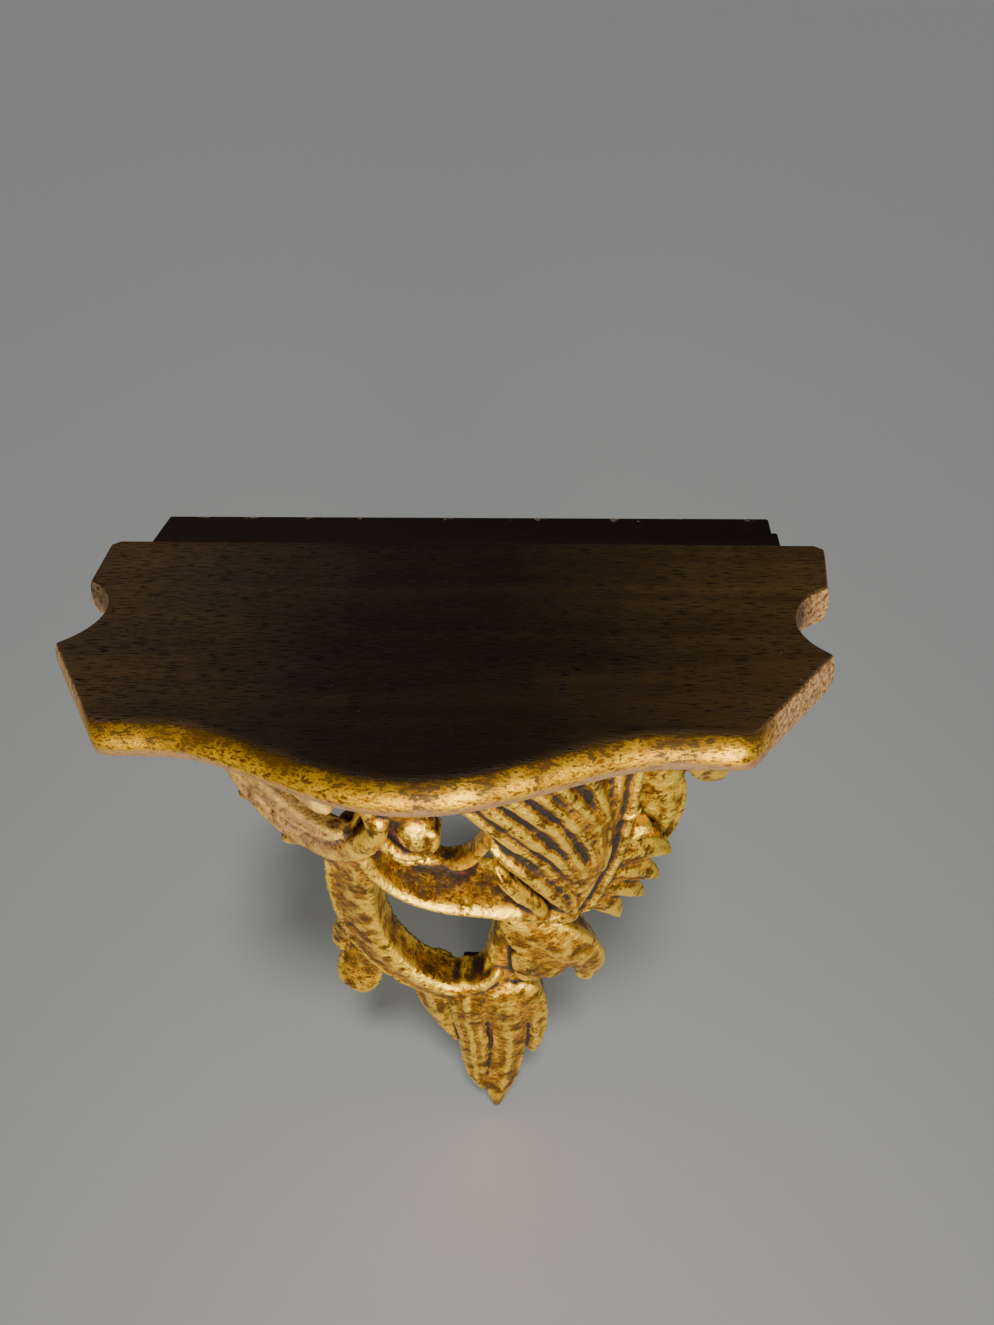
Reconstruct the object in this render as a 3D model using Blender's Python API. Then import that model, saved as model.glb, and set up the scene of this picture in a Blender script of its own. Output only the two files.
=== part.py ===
"""Wall bracket with a shaped shelf board, a wall rail and a carved, pierced and gilded body.

Metres, +Z up. The wall is the plane y = 0 and the room is at y < 0. The origin is the middle of the
rail's back face, where the bracket meets the wall.
"""
import math

import bmesh
import bpy
from mathutils import Vector

# Driving sizes of the shelf board
BOARD_REAR_WIDTH = 0.318
BOARD_NOTCH_WIDTH = 0.311
BOARD_HORN_WIDTH = 0.300
BOARD_CORNER_WIDTH = 0.237
COVE_WAIST_WIDTH = 0.279
BOARD_THICKNESS = 0.0165
BOARD_NOTCH_DEPTH = 0.063
BOARD_WAIST_DEPTH = 0.092
BOARD_HORN_DEPTH = 0.114
BOARD_CORNER_DEPTH = 0.1615
FRONT_SWELL = 0.029
SWELL_HALF_SPAN = 0.095
SIDE_EDGE_ROUND = 0.0022
REAR_CORNER_ROUND = 0.003
CORNER_EASE = 0.0015
NOSE_CORNER_ROUND = 0.009

# Driving sizes of the wall rail
RAIL_WIDTH = 0.284
RAIL_DEPTH = 0.0267
RAIL_HEIGHT = 0.040
RAIL_END_STEP = 0.0025
RAIL_END_STEP_DEPTH = 0.014
RAIL_EDGE_ROUND = 0.0012

# Driving sizes of the carved body
BODY_DROP = 0.371
BODY_SIDE_SETBACK = 0.021
BODY_FRONT_SETBACK = 0.0405
TIP_HALF_WIDTH = 0.012
TIP_DEPTH = 0.034
BELLY_POWER = 2.2
SWEEP_POWER = 1.3
TOP_PLATE_THICKNESS = 0.013
APRON_THICKNESS = 0.013

# Clearance between pieces that touch
JOINT_GAP = 0.0003

# Fineness of the solids
OUTLINE_STEP = 0.010
REAR_STEPS = 6
COVE_STEPS = 12
SLANT_STEPS = 8
CORNER_STEPS = 4
NOSE_STEPS = 6
RAIL_EDGE_SEGMENTS = 2
SHARP_ANGLE = 35
VOXEL = 0.0020
BODY_TRIANGLES = 8800
CUT_OVERLAP = 0.004

# Derived levels, with the board's top flush with the rail's top
SHELF_TOP = RAIL_HEIGHT / 2
BOARD_UNDERSIDE = SHELF_TOP - BOARD_THICKNESS
BODY_TOP = BOARD_UNDERSIDE - JOINT_GAP
BOARD_REAR = RAIL_DEPTH + JOINT_GAP
BODY_HALF_WIDTH = BOARD_REAR_WIDTH / 2 - BODY_SIDE_SETBACK
BODY_DEPTH = BOARD_CORNER_DEPTH + FRONT_SWELL - BODY_FRONT_SETBACK

# The carving is set out in hundredths of its drop
WHOLE_DROP = 100
HUNDREDTH = BODY_DROP / WHOLE_DROP

# The carving's strokes. Each point is a bearing in degrees round the bowed front (0 is the middle,
# -90 and 90 are at the wall), then hundredths of the drop: how far down, how proud of the bow, half
# the stroke's width, and its depth into the wood.
LONG_SCROLL = [
    (-20, 23, 0.2, 2.6, 4.6),
    (-21.0, 28, 1.0, 3.1, 4.6),
    (-23.2, 35, 1.4, 3.3, 4.4),
    (-25.4, 43, 1.4, 3.3, 4.2),
    (-25.8, 50, 1.4, 3.2, 4.2),
    (-22.3, 56.2, 1.3, 3.0, 4.4),
    (-15.5, 60.4, 1.0, 2.6, 4.6),
    (-7.5, 62.4, 0.6, 2.3, 4.8),
    (0.5, 61.8, 0.3, 2.0, 5.0),
    (6.0, 59.4, 0.0, 1.5, 5.0),
    (8.4, 56.4, -0.6, 0.9, 4.6),
]
CUP_LEDGE = [
    (-18, 22, 0.8, 1.0, 4.0),
    (-17, 28, 0.8, 0.9, 4.8),
    (-14, 32.6, 0.8, 0.8, 5.4),
    (-10, 34.8, 0.8, 0.8, 5.6),
    (-4, 36.2, 0.8, 0.9, 5.6),
    (4, 37.0, 0.8, 1.1, 5.6),
    (12, 38.4, 0.8, 1.4, 5.6),
    (20, 40.2, 0.8, 1.6, 5.4),
    (27, 42.0, 0.4, 1.6, 5.0),
]
CUP_RIM = [
    (9.4, 16.0, -0.2, 1.0, 2.0),
    (8.4, 21.4, -1.4, 0.8, 2.0),
    (6.0, 26.8, -2.9, 0.8, 2.2),
    (2.0, 31.4, -4.0, 0.9, 2.4),
    (-4.0, 33.0, -4.4, 1.0, 2.4),
    (-11.0, 31.0, -4.2, 1.1, 2.2),
]
VOLUTE_NECK = [
    (-12.0, 4, 0.0, 3.4, 4.0),
    (-10.0, 9, -0.2, 3.6, 4.5),
    (-8.2, 14, -0.5, 3.3, 4.5),
    (-6.8, 19, -0.9, 2.8, 4.2),
    (-6.2, 23, -1.0, 1.8, 3.8),
]
VOLUTE_RIM = [
    (-13.6, 10.0, 0.2, 1.0, 4.5),
    (-12.8, 15.0, 0.4, 1.1, 4.5),
    (-12.4, 19.0, 0.6, 1.1, 4.5),
    (-11.0, 22.0, 0.7, 1.1, 4.2),
    (-8.2, 23.6, 0.7, 1.0, 4.0),
    (-4.9, 23.2, 0.6, 0.9, 3.6),
    (-2.4, 21.4, 0.4, 0.7, 3.2),
    (-1.6, 19.4, 0.2, 0.45, 2.6),
]
VOLUTE_RING = [
    (-11.4, 24.6, -0.2, 0.8, 3.4),
    (-8.2, 25.8, 0.1, 0.9, 3.4),
    (-4.4, 25.2, -0.1, 0.6, 2.8),
]
VOLUTE_DOME = (-5.4, 18.6, -0.9)
DOME_RADIUS = 2.2
DOME_STRETCH = 1.5
VOLUTE_EYE = (-1.9, 18.8, 0.3)
EYE_RADIUS = 0.55
CALYX_STRAND = [
    (-38, 23.0, 0.4, 1.2, 3.6),
    (-31, 25.6, 0.8, 1.6, 3.4),
    (-24, 26.2, 1.1, 1.8, 3.2),
    (-18, 24.2, 1.2, 1.8, 3.0),
    (-13, 20.4, 0.9, 1.5, 3.0),
    (-10.6, 16.0, 0.5, 0.9, 3.0),
]
WING_STRANDS = [
    [(-19.8, 22.0, 0.5, 0.5, 2.0), (-24, 22.6, 0.6, 1.4, 2.2), (-30, 21.8, 0.6, 1.9, 2.4),
     (-37, 19.2, 0.5, 2.2, 2.8), (-45, 15.0, 0.3, 2.4, 3.4), (-54, 9.8, 0.1, 2.6, 4.0),
     (-62, 5.0, 0.0, 2.4, 4.0)],
    [(-27, 26.0, 0.4, 1.2, 3.0), (-33, 26.4, 0.4, 1.5, 3.0), (-39, 25.2, 0.4, 1.5, 3.0),
     (-46, 22.6, 0.3, 1.4, 3.0), (-53, 18.6, 0.2, 1.4, 3.0), (-60, 13.0, 0.0, 1.3, 3.0)],
    [(-37, 7.0, 0.0, 1.8, 3.4), (-30, 12.4, 0.2, 1.6, 3.0), (-24.5, 16.0, 0.3, 1.2, 2.4),
     (-20.8, 17.4, 0.4, 0.6, 2.0)],
    [(-31, 26.4, 0.4, 1.3, 2.6), (-36.5, 28.2, 0.5, 1.0, 2.4), (-40.0, 29.8, 0.6, 0.4, 1.6)],
    [(-42, 22.0, 0.2, 1.6, 2.6), (-48, 24.0, 0.4, 1.1, 2.4), (-52, 25.0, 0.6, 0.4, 1.6)],
    [(-54, 14.0, 0.0, 1.8, 2.6), (-60, 18.0, 0.4, 1.4, 2.4), (-62, 21.6, 0.8, 0.6, 1.6)],
]
FAN_RIBS = [
    [(-1, 7, 0.0, 1.5, 3.2), (5, 13, 0.4, 1.35, 3.2), (10, 18.2, 0.6, 1.3, 3.2),
     (15, 23.4, 0.7, 1.2, 3.2), (19.5, 28.6, 0.7, 1.1, 3.2), (24, 34.6, 0.7, 1.0, 3.2),
     (26, 40.6, 0.5, 0.8, 3.0)],
    [(3, 6, 0.2, 1.6, 3.2), (10, 14, 0.8, 1.5, 3.2), (15.6, 20.0, 1.0, 1.35, 3.2),
     (21.4, 26.4, 1.0, 1.15, 3.2), (26, 34.4, 0.9, 0.9, 3.2)],
    [(6, 5, 0.2, 1.6, 3.2), (13, 11.8, 0.9, 1.55, 3.2), (19, 18.0, 1.1, 1.4, 3.2),
     (24.4, 26.6, 1.1, 1.1, 3.2), (27, 34.0, 0.9, 0.8, 3.2)],
    [(11, 5, 0.2, 1.6, 3.2), (18, 11.6, 0.9, 1.5, 3.2), (23.6, 18.8, 1.1, 1.3, 3.2),
     (27, 25.8, 1.1, 1.05, 3.2), (28, 33.0, 0.8, 0.8, 3.2)],
    [(16, 5, 0.2, 1.6, 3.2), (21.6, 11.6, 0.9, 1.5, 3.2), (27.4, 20.0, 1.0, 1.2, 3.2),
     (29, 29.6, 0.9, 0.9, 3.2)],
    [(23, 5, 0.2, 1.7, 3.2), (27.6, 13.4, 0.7, 1.5, 3.2), (30, 22.4, 0.8, 1.2, 3.2),
     (30, 30.6, 0.7, 0.9, 3.2)],
]
LOWER_RIBS = [
    [(8, 21.4, 0.2, 0.7, 3.0), (11.6, 24.6, 1.1, 1.3, 4.0), (15.6, 28.8, 1.3, 1.4, 4.0),
     (20, 34.0, 1.2, 1.3, 4.0), (24, 39.0, 0.8, 0.9, 3.5)],
    [(8.6, 26.6, 0.2, 0.5, 3.0), (10.6, 30.2, 1.0, 1.1, 4.0), (14.0, 34.4, 1.0, 1.2, 4.0),
     (18.6, 38.8, 0.8, 0.9, 3.5)],
]
FAN_SPINE = [
    (34, 6, 0.0, 2.2, 3.6),
    (33.5, 15, 0.4, 2.1, 3.8),
    (32.5, 24, 0.5, 2.0, 4.0),
    (31.5, 30, 0.5, 1.9, 4.0),
    (29.5, 36, 0.4, 1.8, 4.0),
    (27, 41.4, 0.2, 1.7, 4.0),
]
FAN_LOBES = [
    [(33, 20.6, 0.0, 1.9, 3.0), (34.8, 20.2, 0.5, 1.5, 2.6), (37.0, 18.8, 1.0, 0.4, 1.4)],
    [(32, 25.4, 0.0, 2.1, 3.0), (36, 25.2, 0.5, 1.9, 2.6), (40.4, 24.0, 1.0, 0.4, 1.4)],
    [(31, 29.2, 0.0, 2.1, 3.2), (38, 29.8, 0.3, 2.4, 3.0), (44, 31.2, 0.6, 1.9, 2.4),
     (50.0, 34.0, 0.8, 0.4, 1.4)],
    [(31, 32.6, 0.0, 2.1, 3.2), (38, 34.2, 0.2, 2.2, 3.0), (44, 36.6, 0.4, 1.7, 2.4),
     (49.4, 39.6, 0.6, 0.4, 1.4)],
    [(30, 35.2, 0.0, 1.9, 3.2), (36, 37.4, 0.2, 1.9, 3.0), (42, 40.2, 0.3, 1.4, 2.4),
     (47.0, 43.2, 0.4, 0.4, 1.4)],
    [(28, 37.8, 0.0, 1.9, 3.4), (33, 40.2, 0.2, 1.9, 3.0), (37.4, 43.2, 0.3, 1.4, 2.4),
     (40.6, 46.4, 0.4, 0.4, 1.4)],
]
SIDE_LEAF = [
    (46, 5, -2.4, 2.0, 3.2),
    (47, 13, -3.2, 2.2, 2.8),
    (49, 20, -3.4, 2.8, 2.6),
    (51, 26, -3.0, 3.4, 2.4),
    (52, 31.5, -2.4, 2.6, 2.2),
    (52.4, 36.6, -1.8, 0.7, 1.8),
]
SIDE_LEAF_BARB = [
    (51, 24.0, -2.8, 2.0, 2.4),
    (55, 26.8, -2.4, 1.5, 2.2),
    (57.5, 29.0, -2.0, 0.7, 1.6),
]
SIDE_LEAF_TOP = [
    (52, 8, -1.2, 2.6, 3.4),
    (55, 15, -0.6, 3.2, 3.0),
    (60, 21, -0.2, 3.0, 2.6),
    (66, 25.4, 0.2, 2.4, 2.2),
    (69, 27, 0.3, 1.2, 2.0),
]
CHEEK_LEAF = [
    (80, 4, 0.0, 3.0, 4.0),
    (79, 12, 0.3, 3.6, 4.0),
    (76, 20, 0.3, 2.8, 3.6),
    (72, 26, 0.0, 0.8, 2.0),
]
CURL_LEAF = [
    (10.5, 41.0, -0.8, 2.0, 5.0),
    (15.5, 44.6, -0.2, 3.8, 5.0),
    (20.5, 48.2, 0.6, 4.6, 4.6),
    (26.0, 51.2, 0.9, 4.3, 4.4),
    (31.4, 54.0, 0.9, 3.3, 4.0),
    (35.8, 57.0, 0.7, 2.5, 3.6),
    (38.2, 60.2, 0.5, 2.1, 3.2),
    (38.4, 63.0, 0.2, 1.4, 2.8),
]
CURL_LOBES = [
    [(19, 50.0, 0.2, 2.8, 4.6), (22.2, 54.6, 0.6, 2.6, 4.4), (24.4, 58.4, 0.5, 1.8, 3.6)],
    [(13, 50.0, 0.0, 2.2, 4.6), (15.2, 55.4, 0.4, 2.4, 4.6), (18.0, 59.4, 0.4, 1.9, 4.0)],
]
CURL_STEM = [
    (20, 40.4, -1.6, 2.0, 4.0),
    (14, 46.0, -1.8, 2.6, 3.8),
    (11.6, 52.0, -1.8, 2.8, 3.8),
    (10, 58.0, -1.4, 3.0, 4.4),
    (8, 64.0, -0.4, 3.4, 5.6),
]
DROP_LEAF = [
    (4, 60.0, -0.2, 4.4, 4.6),
    (8, 66.0, 0.7, 3.8, 5.4),
    (11.4, 72.0, 0.7, 2.8, 6.2),
    (13.4, 79.0, 0.7, 2.5, 6.6),
    (14.6, 86.0, 0.6, 2.6, 6.2),
    (14.0, 91.6, 0.6, 2.6, 5.5),
    (12.8, 96.2, 0.7, 1.8, 4.4),
    (14.4, 100.0, 0.9, 0.4, 3.0),
]
DROP_BLADE = [
    (-2, 60.0, 0.0, 3.4, 4.6),
    (-3.2, 66.0, 1.0, 3.0, 5.0),
    (-3.8, 72.0, 1.0, 2.6, 5.4),
    (-4.6, 79.0, 0.9, 2.4, 5.4),
    (-6.4, 85.0, 0.8, 2.2, 5.0),
    (-8.0, 90.0, 0.8, 1.8, 4.2),
    (-5.0, 94.0, 0.8, 0.9, 3.0),
]
DROP_BACK_LOBES = [
    [(-14, 61.0, -0.8, 2.6, 4.6), (-19, 67.0, -1.0, 2.6, 4.8), (-21, 74.6, -1.2, 2.0, 5.0),
     (-19, 82.4, -1.4, 1.0, 4.6)],
    [(13, 61.0, -0.2, 2.6, 4.6), (19, 67.0, 0.2, 2.6, 4.6), (24.2, 74.4, 0.2, 2.1, 4.6),
     (28.4, 80.4, 0.4, 1.4, 4.2), (30.6, 84.0, 0.6, 0.6, 3.4)],
]
LEFT_LOBES = [
    [(-28, 46.0, -0.6, 2.4, 4.0), (-38, 50.4, -1.0, 2.2, 3.8), (-46, 55.0, -0.4, 1.9, 3.4),
     (-49, 58.4, 0.8, 1.2, 3.2)],
    [(-29, 55.0, -1.2, 2.2, 4.0), (-37, 59.0, -1.1, 3.0, 3.6), (-44.6, 63.0, 0.2, 3.5, 3.2),
     (-48.6, 67.0, 1.7, 3.5, 3.0), (-49.6, 70.8, 2.8, 2.7, 2.8)],
]
APRON_BEARING = 84
APRON_DEPTH = 8.5
STEM_STATIONS = [
    (74.0, 5.2),
    (80.0, 5.0),
    (91.0, 3.0),
]
STEM_OFFSET = 0.9
STEM_BITE = 0.6
STEM_CHAMFER = 0.5
STROKE_STEPS = 5
STROKE_SIDES = 10
NARROWEST = 0.1
BACK_TAPER = 0.85
BLUNTEST = 0.06
CREST_HEIGHT = 0.9
CHANNEL_HEIGHT = 0.8
CHANNEL_POWER = 1.5
RIB_SHARE = 0.74
RIB_POWER = 4
ROLL_HEIGHT = 1.1
ROLL_CREST = -0.35
ROLL_EDGE = 0.35
ROLL_POWER = 1.5
LEAF_HEIGHT = 0.6
LEAF_WAVES = 1.5
LEDGE_RISE = 2.0
SCROLL_FACING = 0.5
SIDE_LEAF_FACING = 0.8
LEAF_TOP_FACING = 0.7
CURL_FACING = 0.2
BLADE_FACING = 0.3
BACK_LOBE_FACING = 0.4
LEFT_LOBE_FACING = 0.9
NORMAL_STEP = 0.5
BOSS_SEGMENTS = 20
BOSS_RINGS = 12
PLAN_STEPS = 36


def clear_scene():
    """Start from an empty scene."""
    for item in list(bpy.data.objects):
        bpy.data.objects.remove(item, do_unlink=True)


def wood_material(name, colour, roughness, metallic=0.0):
    material = bpy.data.materials.new(name)
    material.use_nodes = True
    shader = material.node_tree.nodes["Principled BSDF"]
    shader.inputs["Base Color"].default_value = (*colour, 1.0)
    shader.inputs["Roughness"].default_value = roughness
    shader.inputs["Metallic"].default_value = metallic
    return material


def new_piece(name, bm, material):
    """Put the mesh in one named object with its own material."""
    bmesh.ops.recalc_face_normals(bm, faces=bm.faces)
    mesh = bpy.data.meshes.new(name)
    bm.to_mesh(mesh)
    bm.free()
    piece = bpy.data.objects.new(name, mesh)
    bpy.context.scene.collection.objects.link(piece)
    mesh.materials.append(material)
    return piece


def arc_through(start, middle, end, count):
    """Points on the circle through three points of the plan, without its last point."""
    ax, ay = start
    bx, by = middle
    cx, cy = end
    twice = 2 * (ax * (by - cy) + bx * (cy - ay) + cx * (ay - by))
    a2 = ax * ax + ay * ay
    b2 = bx * bx + by * by
    c2 = cx * cx + cy * cy
    ux = (a2 * (by - cy) + b2 * (cy - ay) + c2 * (ay - by)) / twice
    uy = (a2 * (cx - bx) + b2 * (ax - cx) + c2 * (bx - ax)) / twice
    radius = math.hypot(ax - ux, ay - uy)
    first = math.atan2(ay - uy, ax - ux)
    last = math.atan2(cy - uy, cx - ux)
    through = math.atan2(by - uy, bx - ux)
    turn = 2 * math.pi
    sweep = (last - first) % turn
    if (through - first) % turn > sweep:
        sweep -= turn
    return [(ux + radius * math.cos(first + sweep * i / count),
             uy + radius * math.sin(first + sweep * i / count)) for i in range(count)]


def straight(start, end, count):
    """Evenly spaced points from start to end, without its last point."""
    return [(start[0] + (end[0] - start[0]) * i / count,
             start[1] + (end[1] - start[1]) * i / count) for i in range(count)]


def front_edge(x):
    """Depth of the serpentine front at x, and its slope there."""
    share = min(abs(x) / SWELL_HALF_SPAN, 1.0)
    depth = BOARD_CORNER_DEPTH + FRONT_SWELL * (1 + math.cos(math.pi * share)) / 2
    slope = FRONT_SWELL * math.pi / SWELL_HALF_SPAN / 2 * math.sin(math.pi * share)
    return depth, slope


def side_plan():
    """The right side from the rear corner to just short of the horn."""
    rear = (BOARD_REAR_WIDTH / 2, -BOARD_REAR)
    notch = (BOARD_NOTCH_WIDTH / 2, -BOARD_NOTCH_DEPTH)
    waist = (COVE_WAIST_WIDTH / 2, -BOARD_WAIST_DEPTH)
    horn = (BOARD_HORN_WIDTH / 2, -BOARD_HORN_DEPTH)
    rounded = (rear[0], rear[1] - REAR_CORNER_ROUND)
    points = [(rear[0] - REAR_CORNER_ROUND, rear[1])]
    points += straight(rounded, notch, REAR_STEPS)
    points += arc_through(notch, waist, horn, COVE_STEPS)
    return [Vector(point) for point in points]


def board_ring(share):
    """The whole outline where the nose and the eased edges are out by this share of their reach."""
    horn = Vector((BOARD_HORN_WIDTH / 2, -BOARD_HORN_DEPTH))
    corner = Vector((BOARD_CORNER_WIDTH / 2, -BOARD_CORNER_DEPTH))
    slant = (corner - horn).normalized()
    slant_out = Vector((-slant.y, slant.x))
    eased = SIDE_EDGE_ROUND * share
    nose = BOARD_THICKNESS / 2 * share
    side = side_plan()
    ring = [side[0]]
    for before, here, after in zip(side, side[1:], [*side[2:], horn]):
        along = (after - before).normalized()
        ring.append(here + Vector((-along.y, along.x)) * eased)
    start = horn + slant_out * eased
    reach = (-BOARD_CORNER_DEPTH - nose - start.y) / slant.y
    meeting = start + slant * reach
    radius = CORNER_EASE + (NOSE_CORNER_ROUND - CORNER_EASE) * share
    tangent = radius * math.tan(math.acos(-slant.x) / 2)
    rounding = meeting - slant * tangent
    centre = rounding - slant_out * radius
    ring += [start.lerp(rounding, i / SLANT_STEPS) for i in range(SLANT_STEPS)]
    first = math.atan2(slant_out.y, slant_out.x)
    for i in range(CORNER_STEPS):
        angle = first + (-math.pi / 2 - first) * i / CORNER_STEPS
        ring.append(centre + Vector((math.cos(angle), math.sin(angle))) * radius)
    start_x = meeting.x - tangent
    count = round(BOARD_CORNER_WIDTH / 2 / OUTLINE_STEP)
    for i in range(count + 1):
        x = start_x * (1 - i / count)
        depth, slope = front_edge(x)
        ring.append(Vector((x, -depth - nose * math.hypot(1, slope))))
    return ring + [Vector((-point.x, point.y)) for point in reversed(ring[:-1])]


def make_board(material):
    """Shelf board: flat top, half-round nose along the front, eased edges at the sides."""
    bm = bmesh.new()
    rings = []
    for step in range(NOSE_STEPS + 1):
        angle = math.pi * step / NOSE_STEPS
        level = SHELF_TOP - BOARD_THICKNESS * (1 - math.cos(angle)) / 2
        rings.append([bm.verts.new((point.x, point.y, level)) for point in board_ring(math.sin(angle))])
    join_rings(bm, rings)
    board = new_piece("shelf_board", bm, material)
    board.data.shade_smooth()
    board.data.set_sharp_from_angle(angle=math.radians(SHARP_ANGLE))


def join_rings(bm, rings):
    """Skin closed rings one to the next and cap both ends."""
    count = len(rings[0])
    for near, far in zip(rings, rings[1:]):
        for i in range(count):
            j = (i + 1) % count
            bm.faces.new((near[i], near[j], far[j], far[i]))
    bm.faces.new(rings[0])
    bm.faces.new(list(reversed(rings[-1])))


def make_rail(material):
    """Rail between the board and the wall, stepped in at its right end."""
    half = RAIL_WIDTH / 2
    plan = [
        (-half, 0.0),
        (half - RAIL_END_STEP, 0.0),
        (half - RAIL_END_STEP, -RAIL_END_STEP_DEPTH),
        (half, -RAIL_END_STEP_DEPTH),
        (half, -RAIL_DEPTH),
        (-half, -RAIL_DEPTH),
    ]
    bm = bmesh.new()
    levels = (RAIL_HEIGHT / 2, -RAIL_HEIGHT / 2)
    rings = [[bm.verts.new((x, y, z)) for x, y in plan] for z in levels]
    join_rings(bm, rings)
    rail = new_piece("wall_rail", bm, material)
    ease = rail.modifiers.new("eased edges", "BEVEL")
    ease.width = RAIL_EDGE_ROUND
    ease.segments = RAIL_EDGE_SEGMENTS
    ease.limit_method = "ANGLE"


def bow_radii(percent):
    """Half width and depth of the bowed front at a share of the drop."""
    share = min(max(percent / WHOLE_DROP, 0.0), 1.0)
    across = TIP_HALF_WIDTH + (BODY_HALF_WIDTH - TIP_HALF_WIDTH) * (1 - share ** BELLY_POWER)
    deep = TIP_DEPTH + (BODY_DEPTH - TIP_DEPTH) * (1 - share) ** SWEEP_POWER
    return across, deep


def on_bow(bearing, percent, proud=0.0):
    """Point on the bowed front, moved out by proud metres in plan."""
    across, deep = bow_radii(percent)
    angle = math.radians(bearing)
    return Vector(((across + proud) * math.sin(angle),
                   -(deep + proud) * math.cos(angle),
                   BODY_TOP - percent * HUNDREDTH))


def bow_normal(bearing, percent):
    """Outward direction of the bowed front."""
    along = on_bow(bearing + NORMAL_STEP, percent) - on_bow(bearing - NORMAL_STEP, percent)
    low = min(percent + NORMAL_STEP, WHOLE_DROP)
    down = on_bow(bearing, low) - on_bow(bearing, low - 2 * NORMAL_STEP)
    normal = down.cross(along).normalized()
    angle = math.radians(bearing)
    outward = Vector((math.sin(angle), -math.cos(angle), 0.0))
    return normal if normal.dot(outward) > 0 else -normal


def spline(points, steps):
    """Catmull-Rom curve through points of any size, with steps between each two."""
    padded = [points[0], *points, points[-1]]
    curve = []
    for a, b, c, d in zip(padded, padded[1:], padded[2:], padded[3:]):
        for i in range(steps):
            t = i / steps
            curve.append(tuple(
                0.5 * (2 * q + (r - p) * t + (2 * p - 5 * q + 4 * r - s) * t * t
                       + (3 * q - p - 3 * r + s) * t ** 3)
                for p, q, r, s in zip(a, b, c, d)))
    curve.append(tuple(points[-1]))
    return curve


def crest(u):
    """A rounded ridge."""
    return CREST_HEIGHT * (1 - u * u)


def channel(u):
    """Two raised rims with a hollow between."""
    return CHANNEL_HEIGHT * math.sin(math.pi * abs(u) ** CHANNEL_POWER)


def veined(u):
    """A leaf with a midrib and swelling halves."""
    return LEAF_HEIGHT * math.cos(LEAF_WAVES * math.pi * u) ** 2


def rib(u):
    """A flat-topped ridge between two low shelves."""
    share = min(abs(u) / RIB_SHARE, 1.0)
    return CREST_HEIGHT * (1 - share ** RIB_POWER)


def rolled(u):
    """A roll with its ridge to one side, steep towards the opening and falling away outwards."""
    if u < ROLL_CREST:
        share = (ROLL_CREST - u) / (ROLL_CREST + 1)
        return ROLL_EDGE + (ROLL_HEIGHT - ROLL_EDGE) * (1 - share * share)
    share = (u - ROLL_CREST) / (1 - ROLL_CREST)
    return ROLL_HEIGHT * (1 - share) ** ROLL_POWER


def mirrored(points):
    """The same stroke on the other side of the bracket."""
    return [(-bearing, *rest) for bearing, *rest in points]


def stroke(bm, points, section, facing=0.0, rise=0.0):
    """One closed carved stroke along the bowed front, turned towards the room by facing."""
    course = spline(points, STROKE_STEPS)
    places = [on_bow(point[0], point[1], point[2] * HUNDREDTH) for point in course]
    total = sum((b - a).length for a, b in zip(places, places[1:]))
    room = Vector((0.0, -1.0, 0.0))
    lift = Vector((0.0, 0.0, rise * HUNDREDTH))
    done = 0.0
    rings = []
    for i, (bearing, percent, _, half, depth) in enumerate(course):
        before = places[max(i - 1, 0)]
        after = places[min(i + 1, len(places) - 1)]
        along = (after - before).normalized()
        normal = bow_normal(bearing, percent).lerp(room, facing)
        side = along.cross(normal).normalized()
        out = side.cross(along).normalized()
        done += (places[i] - places[i - 1]).length if i else 0.0
        width = max(half, NARROWEST) * HUNDREDTH
        near_end = min(done, total - done, width) / width
        blunt = math.sqrt(max(1 - (1 - near_end) ** 2, BLUNTEST))
        ring = []
        for k in range(STROKE_SIDES + 1):
            u = -1 + 2 * k / STROKE_SIDES
            height = section(u) * HUNDREDTH * min(half, 1.0) * blunt
            ring.append(bm.verts.new(places[i] + side * u * width * blunt + out * height))
        for u in (BACK_TAPER, 0.0, -BACK_TAPER):
            inside = places[i] + side * u * width * blunt - out * depth * HUNDREDTH
            ring.append(bm.verts.new(inside + lift))
        rings.append(ring)
    join_rings(bm, rings)


def ball(bm, place, radius, stretch=1.0):
    """A boss on the bow, as tall as stretch times its width."""
    bearing, percent, proud = place
    size = radius * HUNDREDTH
    made = bmesh.ops.create_uvsphere(bm, u_segments=BOSS_SEGMENTS, v_segments=BOSS_RINGS, radius=size)
    bmesh.ops.scale(bm, verts=made["verts"], vec=(1.0, 1.0, stretch))
    bmesh.ops.translate(bm, verts=made["verts"], vec=on_bow(bearing, percent, proud * HUNDREDTH))


def top_plate(bm):
    """Flat plate under the board, following the bow in plan."""
    plan = [on_bow(-90 + 180 * i / PLAN_STEPS, 0) for i in range(PLAN_STEPS + 1)]
    rings = []
    for level in (BODY_TOP + CUT_OVERLAP, BODY_TOP - TOP_PLATE_THICKNESS):
        rings.append([bm.verts.new((p.x, p.y, level)) for p in plan])
    join_rings(bm, rings)


def apron(bm):
    """Band of the bowed front that hangs from the plate and carries the strokes."""
    rings = []
    for i in range(PLAN_STEPS + 1):
        bearing = APRON_BEARING * (2 * i / PLAN_STEPS - 1)
        ring = []
        for percent, inward in ((0.0, 0.0), (APRON_DEPTH, 0.0), (APRON_DEPTH, 1.0), (0.0, 1.0)):
            ring.append(bm.verts.new(on_bow(bearing, percent, -inward * APRON_THICKNESS)))
        rings.append(ring)
    join_rings(bm, rings)


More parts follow.
